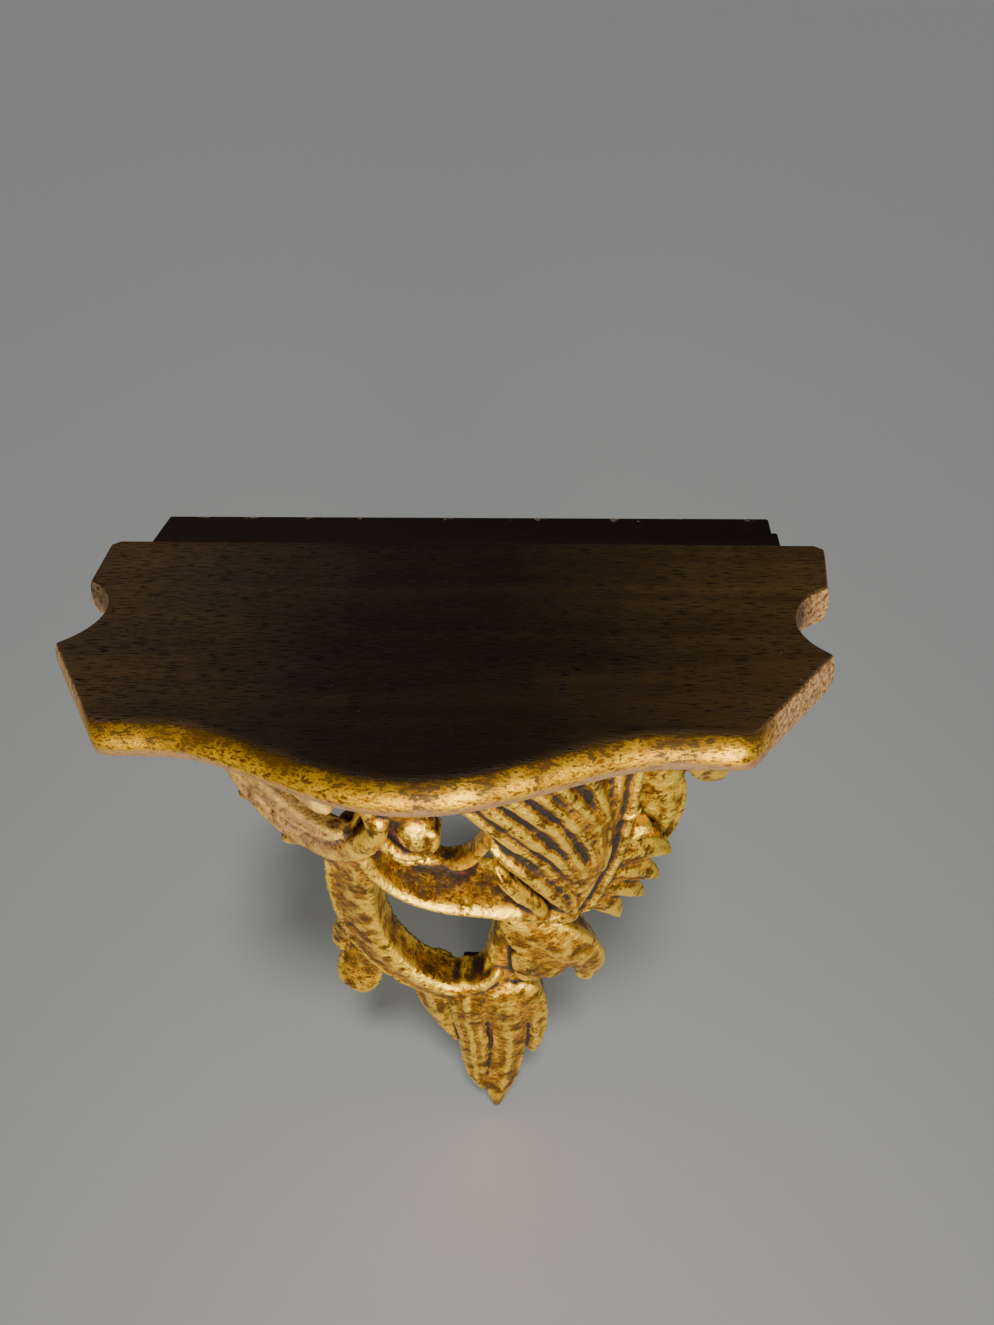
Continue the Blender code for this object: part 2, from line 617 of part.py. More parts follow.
def wall_stem(bm):
    """Solid behind the drop leaf that runs back to the wall."""
    rings = []
    middle = STEM_OFFSET * HUNDREDTH
    for percent, half in STEM_STATIONS:
        deep = bow_radii(percent)[1]
        level = BODY_TOP - percent * HUNDREDTH
        width = half * HUNDREDTH
        nose = width * STEM_CHAMFER
        front = -deep * STEM_BITE
        plan = ((-width, CUT_OVERLAP), (-width, front + nose), (-nose, front),
                (nose, front), (width, front + nose), (width, CUT_OVERLAP))
        rings.append([bm.verts.new((x + middle, y, level)) for x, y in plan])
    join_rings(bm, rings)


def cutter(name, low, high):
    """Box that trims the carving flat against its neighbours."""
    bm = bmesh.new()
    made = bmesh.ops.create_cube(bm, size=1.0)
    middle = [(a + b) / 2 for a, b in zip(low, high)]
    size = [b - a for a, b in zip(low, high)]
    bmesh.ops.scale(bm, verts=made["verts"], vec=size)
    bmesh.ops.translate(bm, verts=made["verts"], vec=middle)
    mesh = bpy.data.meshes.new(name)
    bm.to_mesh(mesh)
    bm.free()
    box = bpy.data.objects.new(name, mesh)
    bpy.context.scene.collection.objects.link(box)
    box.hide_render = True
    box.display_type = "WIRE"
    return box


def carve(bm):
    """All the strokes of the carving."""
    top_plate(bm)
    apron(bm)
    wall_stem(bm)
    stroke(bm, LONG_SCROLL, rolled, facing=SCROLL_FACING)
    stroke(bm, CUP_LEDGE, crest, rise=LEDGE_RISE)
    ball(bm, VOLUTE_DOME, DOME_RADIUS, DOME_STRETCH)
    ball(bm, VOLUTE_EYE, EYE_RADIUS)
    for plain in [VOLUTE_NECK, VOLUTE_RIM, VOLUTE_RING, CUP_RIM, CALYX_STRAND, CURL_STEM]:
        stroke(bm, plain, crest)
    for ridge in FAN_RIBS + LOWER_RIBS:
        stroke(bm, ridge, rib)
    for ridge in WING_STRANDS + FAN_LOBES:
        stroke(bm, ridge, crest)
    stroke(bm, FAN_SPINE, channel)
    stroke(bm, SIDE_LEAF, veined, facing=SIDE_LEAF_FACING)
    stroke(bm, SIDE_LEAF_BARB, crest, facing=SIDE_LEAF_FACING)
    stroke(bm, SIDE_LEAF_TOP, veined, facing=LEAF_TOP_FACING)
    stroke(bm, CHEEK_LEAF, veined)
    stroke(bm, mirrored(CHEEK_LEAF), veined)
    stroke(bm, CURL_LEAF, crest, facing=CURL_FACING)
    for lobe in CURL_LOBES:
        stroke(bm, lobe, crest, facing=CURL_FACING)
    stroke(bm, DROP_LEAF, crest)
    stroke(bm, DROP_BLADE, crest, facing=BLADE_FACING)
    for lobe in DROP_BACK_LOBES:
        stroke(bm, lobe, crest, facing=BACK_LOBE_FACING)
    for lobe in LEFT_LOBES:
        stroke(bm, lobe, crest, facing=LEFT_LOBE_FACING)


def make_body(material):
    """Carved body: strokes fused into one solid, then trimmed to the board, the rail and the wall."""
    bm = bmesh.new()
    carve(bm)
    body = new_piece("carved_body", bm, material)
    fuse = body.modifiers.new("fused strokes", "REMESH")
    fuse.mode = "VOXEL"
    fuse.voxel_size = VOXEL
    fused = body.evaluated_get(bpy.context.evaluated_depsgraph_get()).data
    triangles = sum(len(face.vertices) - 2 for face in fused.polygons)
    thin = body.modifiers.new("fewer faces", "DECIMATE")
    thin.ratio = min(BODY_TRIANGLES / triangles, 1.0)
    reach = BOARD_REAR_WIDTH + BODY_DROP
    beyond = (reach, reach, reach)
    cuts = [
        cutter("board_cutter", (-reach, -reach, BODY_TOP), beyond),
        cutter("rail_cutter", (-reach, -BOARD_REAR, -RAIL_HEIGHT / 2 - JOINT_GAP), beyond),
        cutter("wall_cutter", (-reach, 0.0, -reach), beyond),
    ]
    for box in cuts:
        trim = body.modifiers.new(box.name, "BOOLEAN")
        trim.operation = "DIFFERENCE"
        trim.solver = "EXACT"
        trim.object = box


def main():
    clear_scene()
    walnut = wood_material("stained_walnut", (0.035, 0.018, 0.010), 0.42)
    dark_walnut = wood_material("dark_walnut", (0.020, 0.012, 0.008), 0.55)
    gilded = wood_material("burnished_gilding", (0.62, 0.36, 0.09), 0.34, 0.85)
    make_board(walnut)
    make_rail(dark_walnut)
    make_body(gilded)


main()
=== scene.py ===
# %% [markdown]
# A carved and gilded wall bracket.
# It is three pieces of wood: a shaped shelf board with a half-round gilded nose, a flat rail that meets
# the wall, and one openwork carving that hangs below the board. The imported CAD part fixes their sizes
# and places. Here each of them gets a finer mesh in exactly the same place, and its real finish.

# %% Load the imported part
import math

import bmesh
import bpy
from mathutils import Matrix, Vector


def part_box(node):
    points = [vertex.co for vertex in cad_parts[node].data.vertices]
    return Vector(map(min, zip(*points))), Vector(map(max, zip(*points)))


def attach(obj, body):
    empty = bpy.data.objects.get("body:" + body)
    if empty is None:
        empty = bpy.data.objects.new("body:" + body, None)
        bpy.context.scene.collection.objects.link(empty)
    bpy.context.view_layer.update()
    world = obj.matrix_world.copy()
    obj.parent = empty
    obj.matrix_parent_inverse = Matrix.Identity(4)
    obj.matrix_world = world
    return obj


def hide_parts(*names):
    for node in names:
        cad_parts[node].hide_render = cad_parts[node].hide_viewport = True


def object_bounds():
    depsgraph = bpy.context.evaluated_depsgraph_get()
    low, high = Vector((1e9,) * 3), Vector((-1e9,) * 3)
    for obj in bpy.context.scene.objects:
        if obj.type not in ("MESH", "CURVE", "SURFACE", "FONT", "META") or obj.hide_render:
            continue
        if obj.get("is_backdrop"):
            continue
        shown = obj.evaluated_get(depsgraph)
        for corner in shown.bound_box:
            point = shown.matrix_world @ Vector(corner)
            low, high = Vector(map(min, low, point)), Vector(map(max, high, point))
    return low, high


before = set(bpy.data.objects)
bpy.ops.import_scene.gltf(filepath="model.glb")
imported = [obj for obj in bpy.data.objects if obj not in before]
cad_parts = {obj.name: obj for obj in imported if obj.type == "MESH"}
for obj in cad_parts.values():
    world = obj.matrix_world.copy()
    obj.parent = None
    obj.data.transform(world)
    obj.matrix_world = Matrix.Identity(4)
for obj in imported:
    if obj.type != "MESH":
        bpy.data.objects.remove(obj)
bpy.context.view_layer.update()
board_low, board_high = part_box("shelf_board")
rail_low, rail_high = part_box("wall_rail")
body_low, body_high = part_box("carved_body")

# %% [markdown]
# Colours are written as they look on a screen, in hex, and one function turns them into the linear
# values that a renderer adds up. Another small function adds any shader or geometry node with its
# settings and its links in one line, so that a material reads from top to bottom like a recipe. What
# stands after the kind goes into the node's sockets from the top, as the node shows them. A range
# takes a value, the two ends it is read between and the two ends it is turned to. A mix takes a
# share and what it mixes, and a noise takes its place, its features per metre, detail and roughness.

# %% Colour and node helpers
SRGB_KNEE = 0.04045
SRGB_SLOPE = 12.92
SRGB_OFFSET = 0.055
SRGB_POWER = 2.4
HEX_FULL = 255
MATH = "ShaderNodeMath"
RANGE = "ShaderNodeMapRange"
MIX = "ShaderNodeMix"
NOISE = "ShaderNodeTexNoise"
VECTOR_MATH = "ShaderNodeVectorMath"
ATTRIBUTE = "ShaderNodeAttribute"
STORE = "GeometryNodeStoreNamedAttribute"


def linear(code):
    """A hex colour as the four linear values of a colour socket."""
    values = []
    for start in (1, 3, 5):
        value = int(code[start:start + 2], 16) / HEX_FULL
        if value <= SRGB_KNEE:
            values.append(value / SRGB_SLOPE)
        else:
            values.append(((value + SRGB_OFFSET) / (1 + SRGB_OFFSET)) ** SRGB_POWER)
    return (*values, 1.0)


def fill(tree, socket, value):
    """Set a socket, or link it to another socket or to the first output that a node shows."""
    if isinstance(value, bpy.types.Node):
        value = next(output for output in value.outputs if output.enabled)
    if isinstance(value, bpy.types.NodeSocket):
        tree.links.new(value, socket)
    else:
        socket.default_value = value


def fill_named(tree, node, values):
    """Fill some of a node's sockets by their names."""
    for name, value in values.items():
        fill(tree, node.inputs[name], value)


def add(tree, kind, *values, **settings):
    """Add a node with its settings, and fill its sockets from the top. None leaves one as it is."""
    node = tree.nodes.new(kind)
    for name, value in settings.items():
        setattr(node, name, value)
    shown = [socket for socket in node.inputs if socket.enabled]
    for socket, value in zip(shown, values):
        if value is not None:
            fill(tree, socket, value)
    return node


def new_material(name):
    """An empty material: its tree, and the Principled shader that ends it."""
    material = bpy.data.materials.new(name)
    material.use_nodes = True
    tree = material.node_tree
    tree.nodes.clear()
    shader = add(tree, "ShaderNodeBsdfPrincipled")
    add(tree, "ShaderNodeOutputMaterial", shader)
    return material, tree, shader


def new_object(name, data):
    """Put a mesh, light or camera in the scene at the origin."""
    made = bpy.data.objects.new(name, data)
    bpy.context.scene.collection.objects.link(made)
    return made


def add_piece(name, mesh, material):
    """Put a finished mesh in the scene, with smooth faces and one material."""
    piece = new_object(name, mesh)
    mesh.materials.clear()
    mesh.materials.append(material)
    mesh.shade_smooth()
    print(name, "has", sum(len(face.vertices) - 2 for face in mesh.polygons), "triangles")
    return piece


# %% [markdown]
# The board's plan comes from a few widths and depths. The sides run from the rear to a shallow cove,
# out to a pointed horn, then slant in to the front corner. The front is a serpentine: flat at both
# ends, swelling in the middle. The front edge is worked to a half-round nose, and the other edges are
# only eased. So each level of the edge is one closed ring: the nose pushes the front of the ring out
# by the height of a half circle, and the corner is rounded more where the nose is fuller.

# %% Sizes of the board
BOARD_REAR_WIDTH = 0.318
BOARD_NOTCH_WIDTH = 0.311
BOARD_HORN_WIDTH = 0.300
BOARD_CORNER_WIDTH = 0.237
COVE_WAIST_WIDTH = 0.279
BOARD_NOTCH_DEPTH = 0.063
BOARD_WAIST_DEPTH = 0.092
BOARD_HORN_DEPTH = 0.114
BOARD_CORNER_DEPTH = 0.1615
FRONT_SWELL = 0.029
SWELL_HALF_SPAN = 0.095
SIDE_EDGE_ROUND = 0.0022
REAR_CORNER_ROUND = 0.003
CORNER_EASE = 0.0015
NOSE_CORNER_ROUND = 0.009
SHELF_TOP = board_high.z
BOARD_UNDERSIDE = board_low.z
BOARD_THICKNESS = SHELF_TOP - BOARD_UNDERSIDE
BOARD_REAR = -board_high.y
NOSE_STEPS = 20
OUTLINE_STEP = 0.003
SIDE_STEP = 0.004
COVE_STEPS = 30
CORNER_STEPS = 7
print("board thickness in mm:", round(BOARD_THICKNESS * 1000, 1))


# %% The board's plan
def arc_through(start, middle, end, count):
    """Points on the circle through three points of the plan, without its last point."""
    ax, ay = start
    bx, by = middle
    cx, cy = end
    twice = 2 * (ax * (by - cy) + bx * (cy - ay) + cx * (ay - by))
    a2 = ax * ax + ay * ay
    b2 = bx * bx + by * by
    c2 = cx * cx + cy * cy
    ux = (a2 * (by - cy) + b2 * (cy - ay) + c2 * (ay - by)) / twice
    uy = (a2 * (cx - bx) + b2 * (ax - cx) + c2 * (bx - ax)) / twice
    radius = math.hypot(ax - ux, ay - uy)
    first = math.atan2(ay - uy, ax - ux)
    last = math.atan2(cy - uy, cx - ux)
    through = math.atan2(by - uy, bx - ux)
    turn = 2 * math.pi
    sweep = (last - first) % turn
    if (through - first) % turn > sweep:
        sweep -= turn
    return [(ux + radius * math.cos(first + sweep * i / count),
             uy + radius * math.sin(first + sweep * i / count)) for i in range(count)]


def straight(start, end, count):
    """Evenly spaced points from start to end, without its last point."""
    return [(start[0] + (end[0] - start[0]) * i / count,
             start[1] + (end[1] - start[1]) * i / count) for i in range(count)]


def front_edge(x):
    """Depth of the serpentine front at x, and its slope there."""
    share = min(abs(x) / SWELL_HALF_SPAN, 1.0)
    depth = BOARD_CORNER_DEPTH + FRONT_SWELL * (1 + math.cos(math.pi * share)) / 2
    slope = FRONT_SWELL * math.pi / SWELL_HALF_SPAN / 2 * math.sin(math.pi * share)
    return depth, slope


def side_plan():
    """The right side from the rear corner to just short of the horn."""
    rear = (BOARD_REAR_WIDTH / 2, -BOARD_REAR)
    notch = (BOARD_NOTCH_WIDTH / 2, -BOARD_NOTCH_DEPTH)
    waist = (COVE_WAIST_WIDTH / 2, -BOARD_WAIST_DEPTH)
    horn = (BOARD_HORN_WIDTH / 2, -BOARD_HORN_DEPTH)
    rounded = (rear[0], rear[1] - REAR_CORNER_ROUND)
    points = [(rear[0] - REAR_CORNER_ROUND, rear[1])]
    points += straight(rounded, notch, round((BOARD_NOTCH_DEPTH - BOARD_REAR) / SIDE_STEP))
    points += arc_through(notch, waist, horn, COVE_STEPS)
    return [Vector(point) for point in points]


def board_ring(share):
    """The whole outline where the nose and the eased edges are out by this share of their reach."""
    horn = Vector((BOARD_HORN_WIDTH / 2, -BOARD_HORN_DEPTH))
    corner = Vector((BOARD_CORNER_WIDTH / 2, -BOARD_CORNER_DEPTH))
    slant = (corner - horn).normalized()
    slant_out = Vector((-slant.y, slant.x))
    eased = SIDE_EDGE_ROUND * share
    nose = BOARD_THICKNESS / 2 * share
    side = side_plan()
    ring = [(side[0], 0.0)]
    for before, here, after in zip(side, side[1:], [*side[2:], horn]):
        along = (after - before).normalized()
        ring.append((here + Vector((-along.y, along.x)) * eased, 0.0))
    start = horn + slant_out * eased
    reach = (-BOARD_CORNER_DEPTH - nose - start.y) / slant.y
    meeting = start + slant * reach
    radius = CORNER_EASE + (NOSE_CORNER_ROUND - CORNER_EASE) * share
    turn = math.acos(-slant.x)
    tangent = radius * math.tan(turn / 2)
    rounding = meeting - slant * tangent
    centre = rounding - slant_out * radius
    count = round((corner - horn).length / SIDE_STEP)
    ring += [(start.lerp(rounding, i / count), i / count) for i in range(count)]
    first = math.atan2(slant_out.y, slant_out.x)
    for i in range(CORNER_STEPS):
        angle = first + (-math.pi / 2 - first) * i / CORNER_STEPS
        ring.append((centre + Vector((math.cos(angle), math.sin(angle))) * radius, 1.0))
    start_x = meeting.x - tangent
    count = round(BOARD_CORNER_WIDTH / 2 / OUTLINE_STEP)
    for i in range(count + 1):
        x = start_x * (1 - i / count)
        depth, slope = front_edge(x)
        ring.append((Vector((x, -depth - nose * math.hypot(1, slope))), 1.0))
    left = [(Vector((-point.x, point.y)), front) for point, front in reversed(ring[:-1])]
    return ring + left


# %% [markdown]
# The rings are joined level by level, and the first and last are closed with flat faces. Two values
# are stored on the points for the finish: `turn` is 0 at the top of the edge and 1 at its bottom, and
# `front` is 1 along the nose and 0 along the sides.

# %% Board mesh
def join_rings(bm, rings):
    """Skin closed rings one to the next and cap both ends."""
    count = len(rings[0])
    for near, far in zip(rings, rings[1:]):
        for i in range(count):
            j = (i + 1) % count
            bm.faces.new((near[i], near[j], far[j], far[i]))
    bm.faces.new(rings[0])
    bm.faces.new(list(reversed(rings[-1])))


def closed_mesh(name, bm):
    """The mesh of a closed shape, with its faces turned outwards."""
    bmesh.ops.recalc_face_normals(bm, faces=bm.faces)
    mesh = bpy.data.meshes.new(name)
    bm.to_mesh(mesh)
    bm.free()
    return mesh


def board_mesh():
    """The board with its half-round nose and eased side edges."""
    bm = bmesh.new()
    turn_layer = bm.verts.layers.float.new("turn")
    front_layer = bm.verts.layers.float.new("front")
    rings = []
    for step in range(NOSE_STEPS + 1):
        turn = step / NOSE_STEPS
        level = SHELF_TOP - BOARD_THICKNESS * (1 - math.cos(math.pi * turn)) / 2
        ring = []
        for point, front in board_ring(math.sin(math.pi * turn)):
            vertex = bm.verts.new((point.x, point.y, level))
            vertex[turn_layer] = turn
            vertex[front_layer] = front
            ring.append(vertex)
        rings.append(ring)
    join_rings(bm, rings)
    return closed_mesh("shelf_board_detail", bm)


# %% [markdown]
# The shelf is dark stained walnut, rubbed and dry. Its pores show as short dark dashes along the
# grain, which runs along the wall, about 6 mm long and under 1 mm wide. The middle is painted almost
# black as a painted reflection of dark shade, a few specks of dust lie on it, and the ends are a paler
# brown. Gilding covers the nose and the edges. Above it is a bright mottle of about 2 mm, drawn out
# along the edge by wiping and worn to its dark ground in small flecks. The sides are a dull pinkish
# strip, where the leaf is thin, and the lower part of the nose is a dull mauve strip. One material
# holds both, mixed by the stored values, so that the worn border between gold and wood can be ragged.

# %% Finish of the board
DRY_WOOD_GLOSS = 0.16
board_finish, tree, shader = new_material("stained_walnut_with_gilded_edge")
place = add(tree, "ShaderNodeTexCoord").outputs["Object"]
turn, front = (add(tree, ATTRIBUTE, attribute_name=name).outputs["Fac"]
               for name in ("turn", "front"))

along_grain = add(tree, "ShaderNodeMapping", place, None, None, (150, 1200, 1200))
pores = add(tree, NOISE, along_grain, 1.0, 3.0, 0.6)
pore = add(tree, RANGE, pores, 0.55, 0.64, 0.0, 0.9)
broad_grain = add(tree, "ShaderNodeMapping", place, None, None, (9, 90, 90))
figure = add(tree, NOISE, broad_grain, 1.0, 4.0, None, None, 0.6)
blotch = add(tree, NOISE, place, 28.0, 3.0)
split = add(tree, "ShaderNodeSeparateXYZ", place)
aside = add(tree, MATH, split.outputs["X"], operation="ABSOLUTE")
wander = add(tree, MATH, blotch, 0.1, aside, operation="MULTIPLY_ADD")
# Painted reflection: the middle of the top is painted near black, and the ends a paler brown.
toward_paler_ends = add(tree, RANGE, wander, 0.08, 0.2)
brown = add(tree, MIX, figure, linear("#3f2b14"), linear("#6e522e"), data_type="RGBA")
dark = add(tree, MIX, figure, linear("#1c1208"), linear("#38260f"), data_type="RGBA")
stain = add(tree, MIX, toward_paler_ends, dark, brown, data_type="RGBA")
pored = add(tree, MIX, pore, stain, linear("#0f0703"), data_type="RGBA")
dust = add(tree, NOISE, place, 260.0, 1.0)
speck = add(tree, RANGE, dust, 0.8, 0.83)
wood = add(tree, MIX, speck, pored, linear("#8a7350"), data_type="RGBA")

drawn_out = add(tree, "ShaderNodeMapping", place, None, None, (260, 560, 560))
speckle = add(tree, NOISE, drawn_out, 1.0, 6.0, 0.7)
patch = add(tree, NOISE, place, 60.0, 4.0, 0.6)
leaf_tone = add(tree, RANGE, speckle, 0.4, 0.57)
bright_leaf = add(tree, MIX, leaf_tone, linear("#6c4408"), linear("#f2b81a"), data_type="RGBA")
lost = add(tree, MATH, patch, 0.4, speckle, operation="MULTIPLY_ADD")
near_wood = add(tree, RANGE, turn, 0.12, 0.42, 0.12, 0.0)
lost_more = add(tree, MATH, lost, near_wood, operation="ADD")
gone = add(tree, RANGE, lost_more, 0.68, 0.8, 0.0, 0.95)
nose_gold = add(tree, MIX, gone, bright_leaf, linear("#2e1a04"), data_type="RGBA")
pink_gold = add(tree, MIX, leaf_tone, linear("#6e4c2c"), linear("#b08a5a"), data_type="RGBA")
mauve = add(tree, MIX, patch, linear("#66493a"), linear("#a37f62"), data_type="RGBA")
low_edge = add(tree, MATH, patch, 0.14, turn, operation="MULTIPLY_ADD")
low_part = add(tree, RANGE, low_edge, 0.58, 0.68, 0.0, 0.8)
not_front = add(tree, RANGE, front, 0.95, 0.7)
lower_gold = add(tree, MIX, low_part, nose_gold, mauve, data_type="RGBA")
gilding = add(tree, MIX, not_front, lower_gold, pink_gold, data_type="RGBA")
dull = add(tree, MATH, low_part, not_front, operation="MAXIMUM")

ragged = add(tree, MATH, speckle, 0.18, turn, operation="MULTIPLY_ADD")
upper = add(tree, RANGE, ragged, 0.21, 0.25)
lower = add(tree, RANGE, turn, 0.97, 0.93)
gilt = add(tree, MATH, upper, lower, operation="MULTIPLY")
colour = add(tree, MIX, gilt, wood, gilding, data_type="RGBA")

leaf_metal = add(tree, RANGE, gone, 0.0, 1.0, 0.8, 0.2)
dulled = add(tree, RANGE, dull, 0.0, 1.0, 1.0, 0.45)
metal_here = add(tree, MATH, leaf_metal, dulled, operation="MULTIPLY")
metal = add(tree, MATH, metal_here, gilt, operation="MULTIPLY")
wood_rough = add(tree, RANGE, blotch, 0.0, 1.0, 0.42, 0.66)
gold_rough = add(tree, RANGE, speckle, 0.0, 1.0, 0.26, 0.5)
rough = add(tree, MIX, gilt, wood_rough, gold_rough)
relief = add(tree, MIX, gilt, pore, speckle)
bump = add(tree, "ShaderNodeBump", 0.8, 0.0005, None, relief)
fill_named(tree, shader, {"Base Color": colour, "Metallic": metal, "Roughness": rough,
                          "Normal": bump, "Specular IOR Level": DRY_WOOD_GLOSS})
print("finish of the board:", len(tree.nodes), "nodes")

# %% Shelf board
SHARP_ANGLE = math.radians(35)
shelf = add_piece("shelf_board_detail", board_mesh(), board_finish)
shelf.data.set_sharp_from_angle(angle=SHARP_ANGLE)
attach(shelf, "root")
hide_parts("shelf_board")

# %% [markdown]
# The rail is a plain dark batten between the board and the wall. Its right end is stepped, and a
# crack runs in from the step. The crack is cut as a thin wedge, so that it is a real gap.

# %% Rail and crack
RAIL_END_STEP = 0.0025
RAIL_END_STEP_DEPTH = 0.014
RAIL_EDGE_ROUND = 0.0012
RAIL_EDGE_STEPS = 3
CRACK_WIDTH = 0.0007
CRACK_DEPTH = 0.006
CRACK_END = Vector((0.122, -0.0185))


def prism(name, plan, low, high):
    """A closed upright block on a plan of points."""
    bm = bmesh.new()
    rings = [[bm.verts.new((x, y, z)) for x, y in plan] for z in (high, low)]
    join_rings(bm, rings)
    return closed_mesh(name, bm)


def finished_mesh(piece, name):
    """The mesh that a piece's modifiers give, as plain mesh. The modifiers are then removed."""
    evaluated = piece.evaluated_get(bpy.context.evaluated_depsgraph_get())
    mesh = bpy.data.meshes.new_from_object(evaluated)
    mesh.name = name
    piece.modifiers.clear()
    return mesh


rail_half = rail_high.x
rail_depth = -rail_low.y
rail_plan = [
    (-rail_half, 0.0),
    (rail_half - RAIL_END_STEP, 0.0),
    (rail_half - RAIL_END_STEP, -RAIL_END_STEP_DEPTH),
    (rail_half, -RAIL_END_STEP_DEPTH),
    (rail_half, -rail_depth),
    (-rail_half, -rail_depth),
]
mouth_x = rail_half - RAIL_END_STEP
crack_plan = [
    (mouth_x + RAIL_END_STEP * 2, -RAIL_END_STEP_DEPTH - CRACK_WIDTH),
    (mouth_x, -RAIL_END_STEP_DEPTH - CRACK_WIDTH),
    (CRACK_END.x, CRACK_END.y),
    (mouth_x, -RAIL_END_STEP_DEPTH),
    (mouth_x + RAIL_END_STEP * 2, -RAIL_END_STEP_DEPTH),
]
crack_low = rail_high.z - CRACK_DEPTH
crack = new_object("crack", prism("crack", crack_plan, crack_low, rail_high.z + CRACK_DEPTH))
print("rail depth in mm:", round(rail_depth * 1000, 1))

# %% [markdown]
# The rail is the same walnut, stained almost black and never polished. It gives the eye a faint
# grain along its length, hardly any gloss, and a few pale chips of raw wood along the top edge at
# the wall, where it was knocked.

# %% Finish of the rail
CHIP_REACH = 0.004
rail_finish, tree, shader = new_material("dark_stained_walnut")
place = add(tree, "ShaderNodeTexCoord").outputs["Object"]
along_grain = add(tree, "ShaderNodeMapping", place, None, None, (60, 900, 900))
grain = add(tree, NOISE, along_grain, 1.0, 4.0)
stain = add(tree, MIX, grain, linear("#0f0804"), linear("#2c1c10"), data_type="RGBA")
split = add(tree, "ShaderNodeSeparateXYZ", place)
from_wall = add(tree, RANGE, split.outputs["Y"], -0.006, -0.0005)
flakes = add(tree, NOISE, place, 170.0, 4.0)
near_top = add(tree, RANGE, split.outputs["Z"], rail_high.z - CHIP_REACH, rail_high.z - CHIP_REACH / 4)
at_edge = add(tree, MATH, from_wall, near_top, operation="MULTIPLY")
near_wall = add(tree, MATH, at_edge, 0.18, flakes, operation="MULTIPLY_ADD")
chip = add(tree, RANGE, near_wall, 0.76, 0.8)
colour = add(tree, MIX, chip, stain, linear("#7d6a55"), data_type="RGBA")
rough = add(tree, RANGE, grain, 0.0, 1.0, 0.5, 0.75)
bump = add(tree, "ShaderNodeBump", 0.5, 0.0003, None, grain)
fill_named(tree, shader, {"Base Color": colour, "Roughness": rough, "Normal": bump,
                          "Specular IOR Level": DRY_WOOD_GLOSS})
print("finish of the rail:", len(tree.nodes), "nodes")

# %% Wall rail
blank = add_piece("rail_blank", prism("rail_blank", rail_plan, rail_low.z, rail_high.z), rail_finish)
ease = blank.modifiers.new("eased edges", "BEVEL")
ease.width = RAIL_EDGE_ROUND
ease.segments = RAIL_EDGE_STEPS
split_open = blank.modifiers.new("crack", "BOOLEAN")
split_open.operation = "DIFFERENCE"
split_open.solver = "EXACT"
split_open.object = crack
rail = add_piece("wall_rail_detail", finished_mesh(blank, "wall_rail_detail"), rail_finish)
rail.data.set_sharp_from_angle(angle=SHARP_ANGLE)
bpy.data.objects.remove(blank)
bpy.data.objects.remove(crack)
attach(rail, "root")
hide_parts("wall_rail")

# %% [markdown]
# The carving was cut from one block whose front was first sawn to a bow: wide and deep under the
# board, narrowing to a leaf tip at the wall. So every form is described where a carver would draw it,
# on that bowed front. A point is a bearing round the bow in degrees, and then hundredths of the drop:
# how far down, how proud, half the form's width and its depth into the wood.

# %% The bowed front
BODY_DROP = 0.371
BODY_TOP = body_high.z
BODY_HALF_WIDTH = 0.138
BODY_DEPTH = 0.150
TIP_HALF_WIDTH = 0.012
TIP_DEPTH = 0.034
BELLY_POWER = 2.2
SWEEP_POWER = 1.3
WHOLE_DROP = 100
HUNDREDTH = BODY_DROP / WHOLE_DROP
NORMAL_STEP = 0.5


def bow_radii(percent):
    """Half width and depth of the bowed front at a share of the drop."""
    share = min(max(percent / WHOLE_DROP, 0.0), 1.0)
    across = TIP_HALF_WIDTH + (BODY_HALF_WIDTH - TIP_HALF_WIDTH) * (1 - share ** BELLY_POWER)
    deep = TIP_DEPTH + (BODY_DEPTH - TIP_DEPTH) * (1 - share) ** SWEEP_POWER
    return across, deep


def on_bow(bearing, percent, proud=0.0):
    """Point on the bowed front, moved out by proud metres in plan."""
    across, deep = bow_radii(percent)
    angle = math.radians(bearing)
    return Vector(((across + proud) * math.sin(angle), -(deep + proud) * math.cos(angle),
                   BODY_TOP - percent * HUNDREDTH))


def bow_normal(bearing, percent):
    """Outward direction of the bowed front."""
    along = on_bow(bearing + NORMAL_STEP, percent) - on_bow(bearing - NORMAL_STEP, percent)
    low = min(percent + NORMAL_STEP, WHOLE_DROP)
    down = on_bow(bearing, low) - on_bow(bearing, low - 2 * NORMAL_STEP)
    normal = down.cross(along).normalized()
    angle = math.radians(bearing)
    outward = Vector((math.sin(angle), -math.cos(angle), 0.0))
    return normal if normal.dot(outward) > 0 else -normal


print("bow at the top in mm:", [round(v * 1000) for v in bow_radii(0)])

# %% [markdown]
# These are the carving's forms as lists of such points. The long scroll runs down the left and round
# under the big opening. The cup's ledge springs from it and carries the fan of a shell. A volute, a
# calyx and a wing fill the upper left, leaves spread on the right, and a leaf drops to the tip.

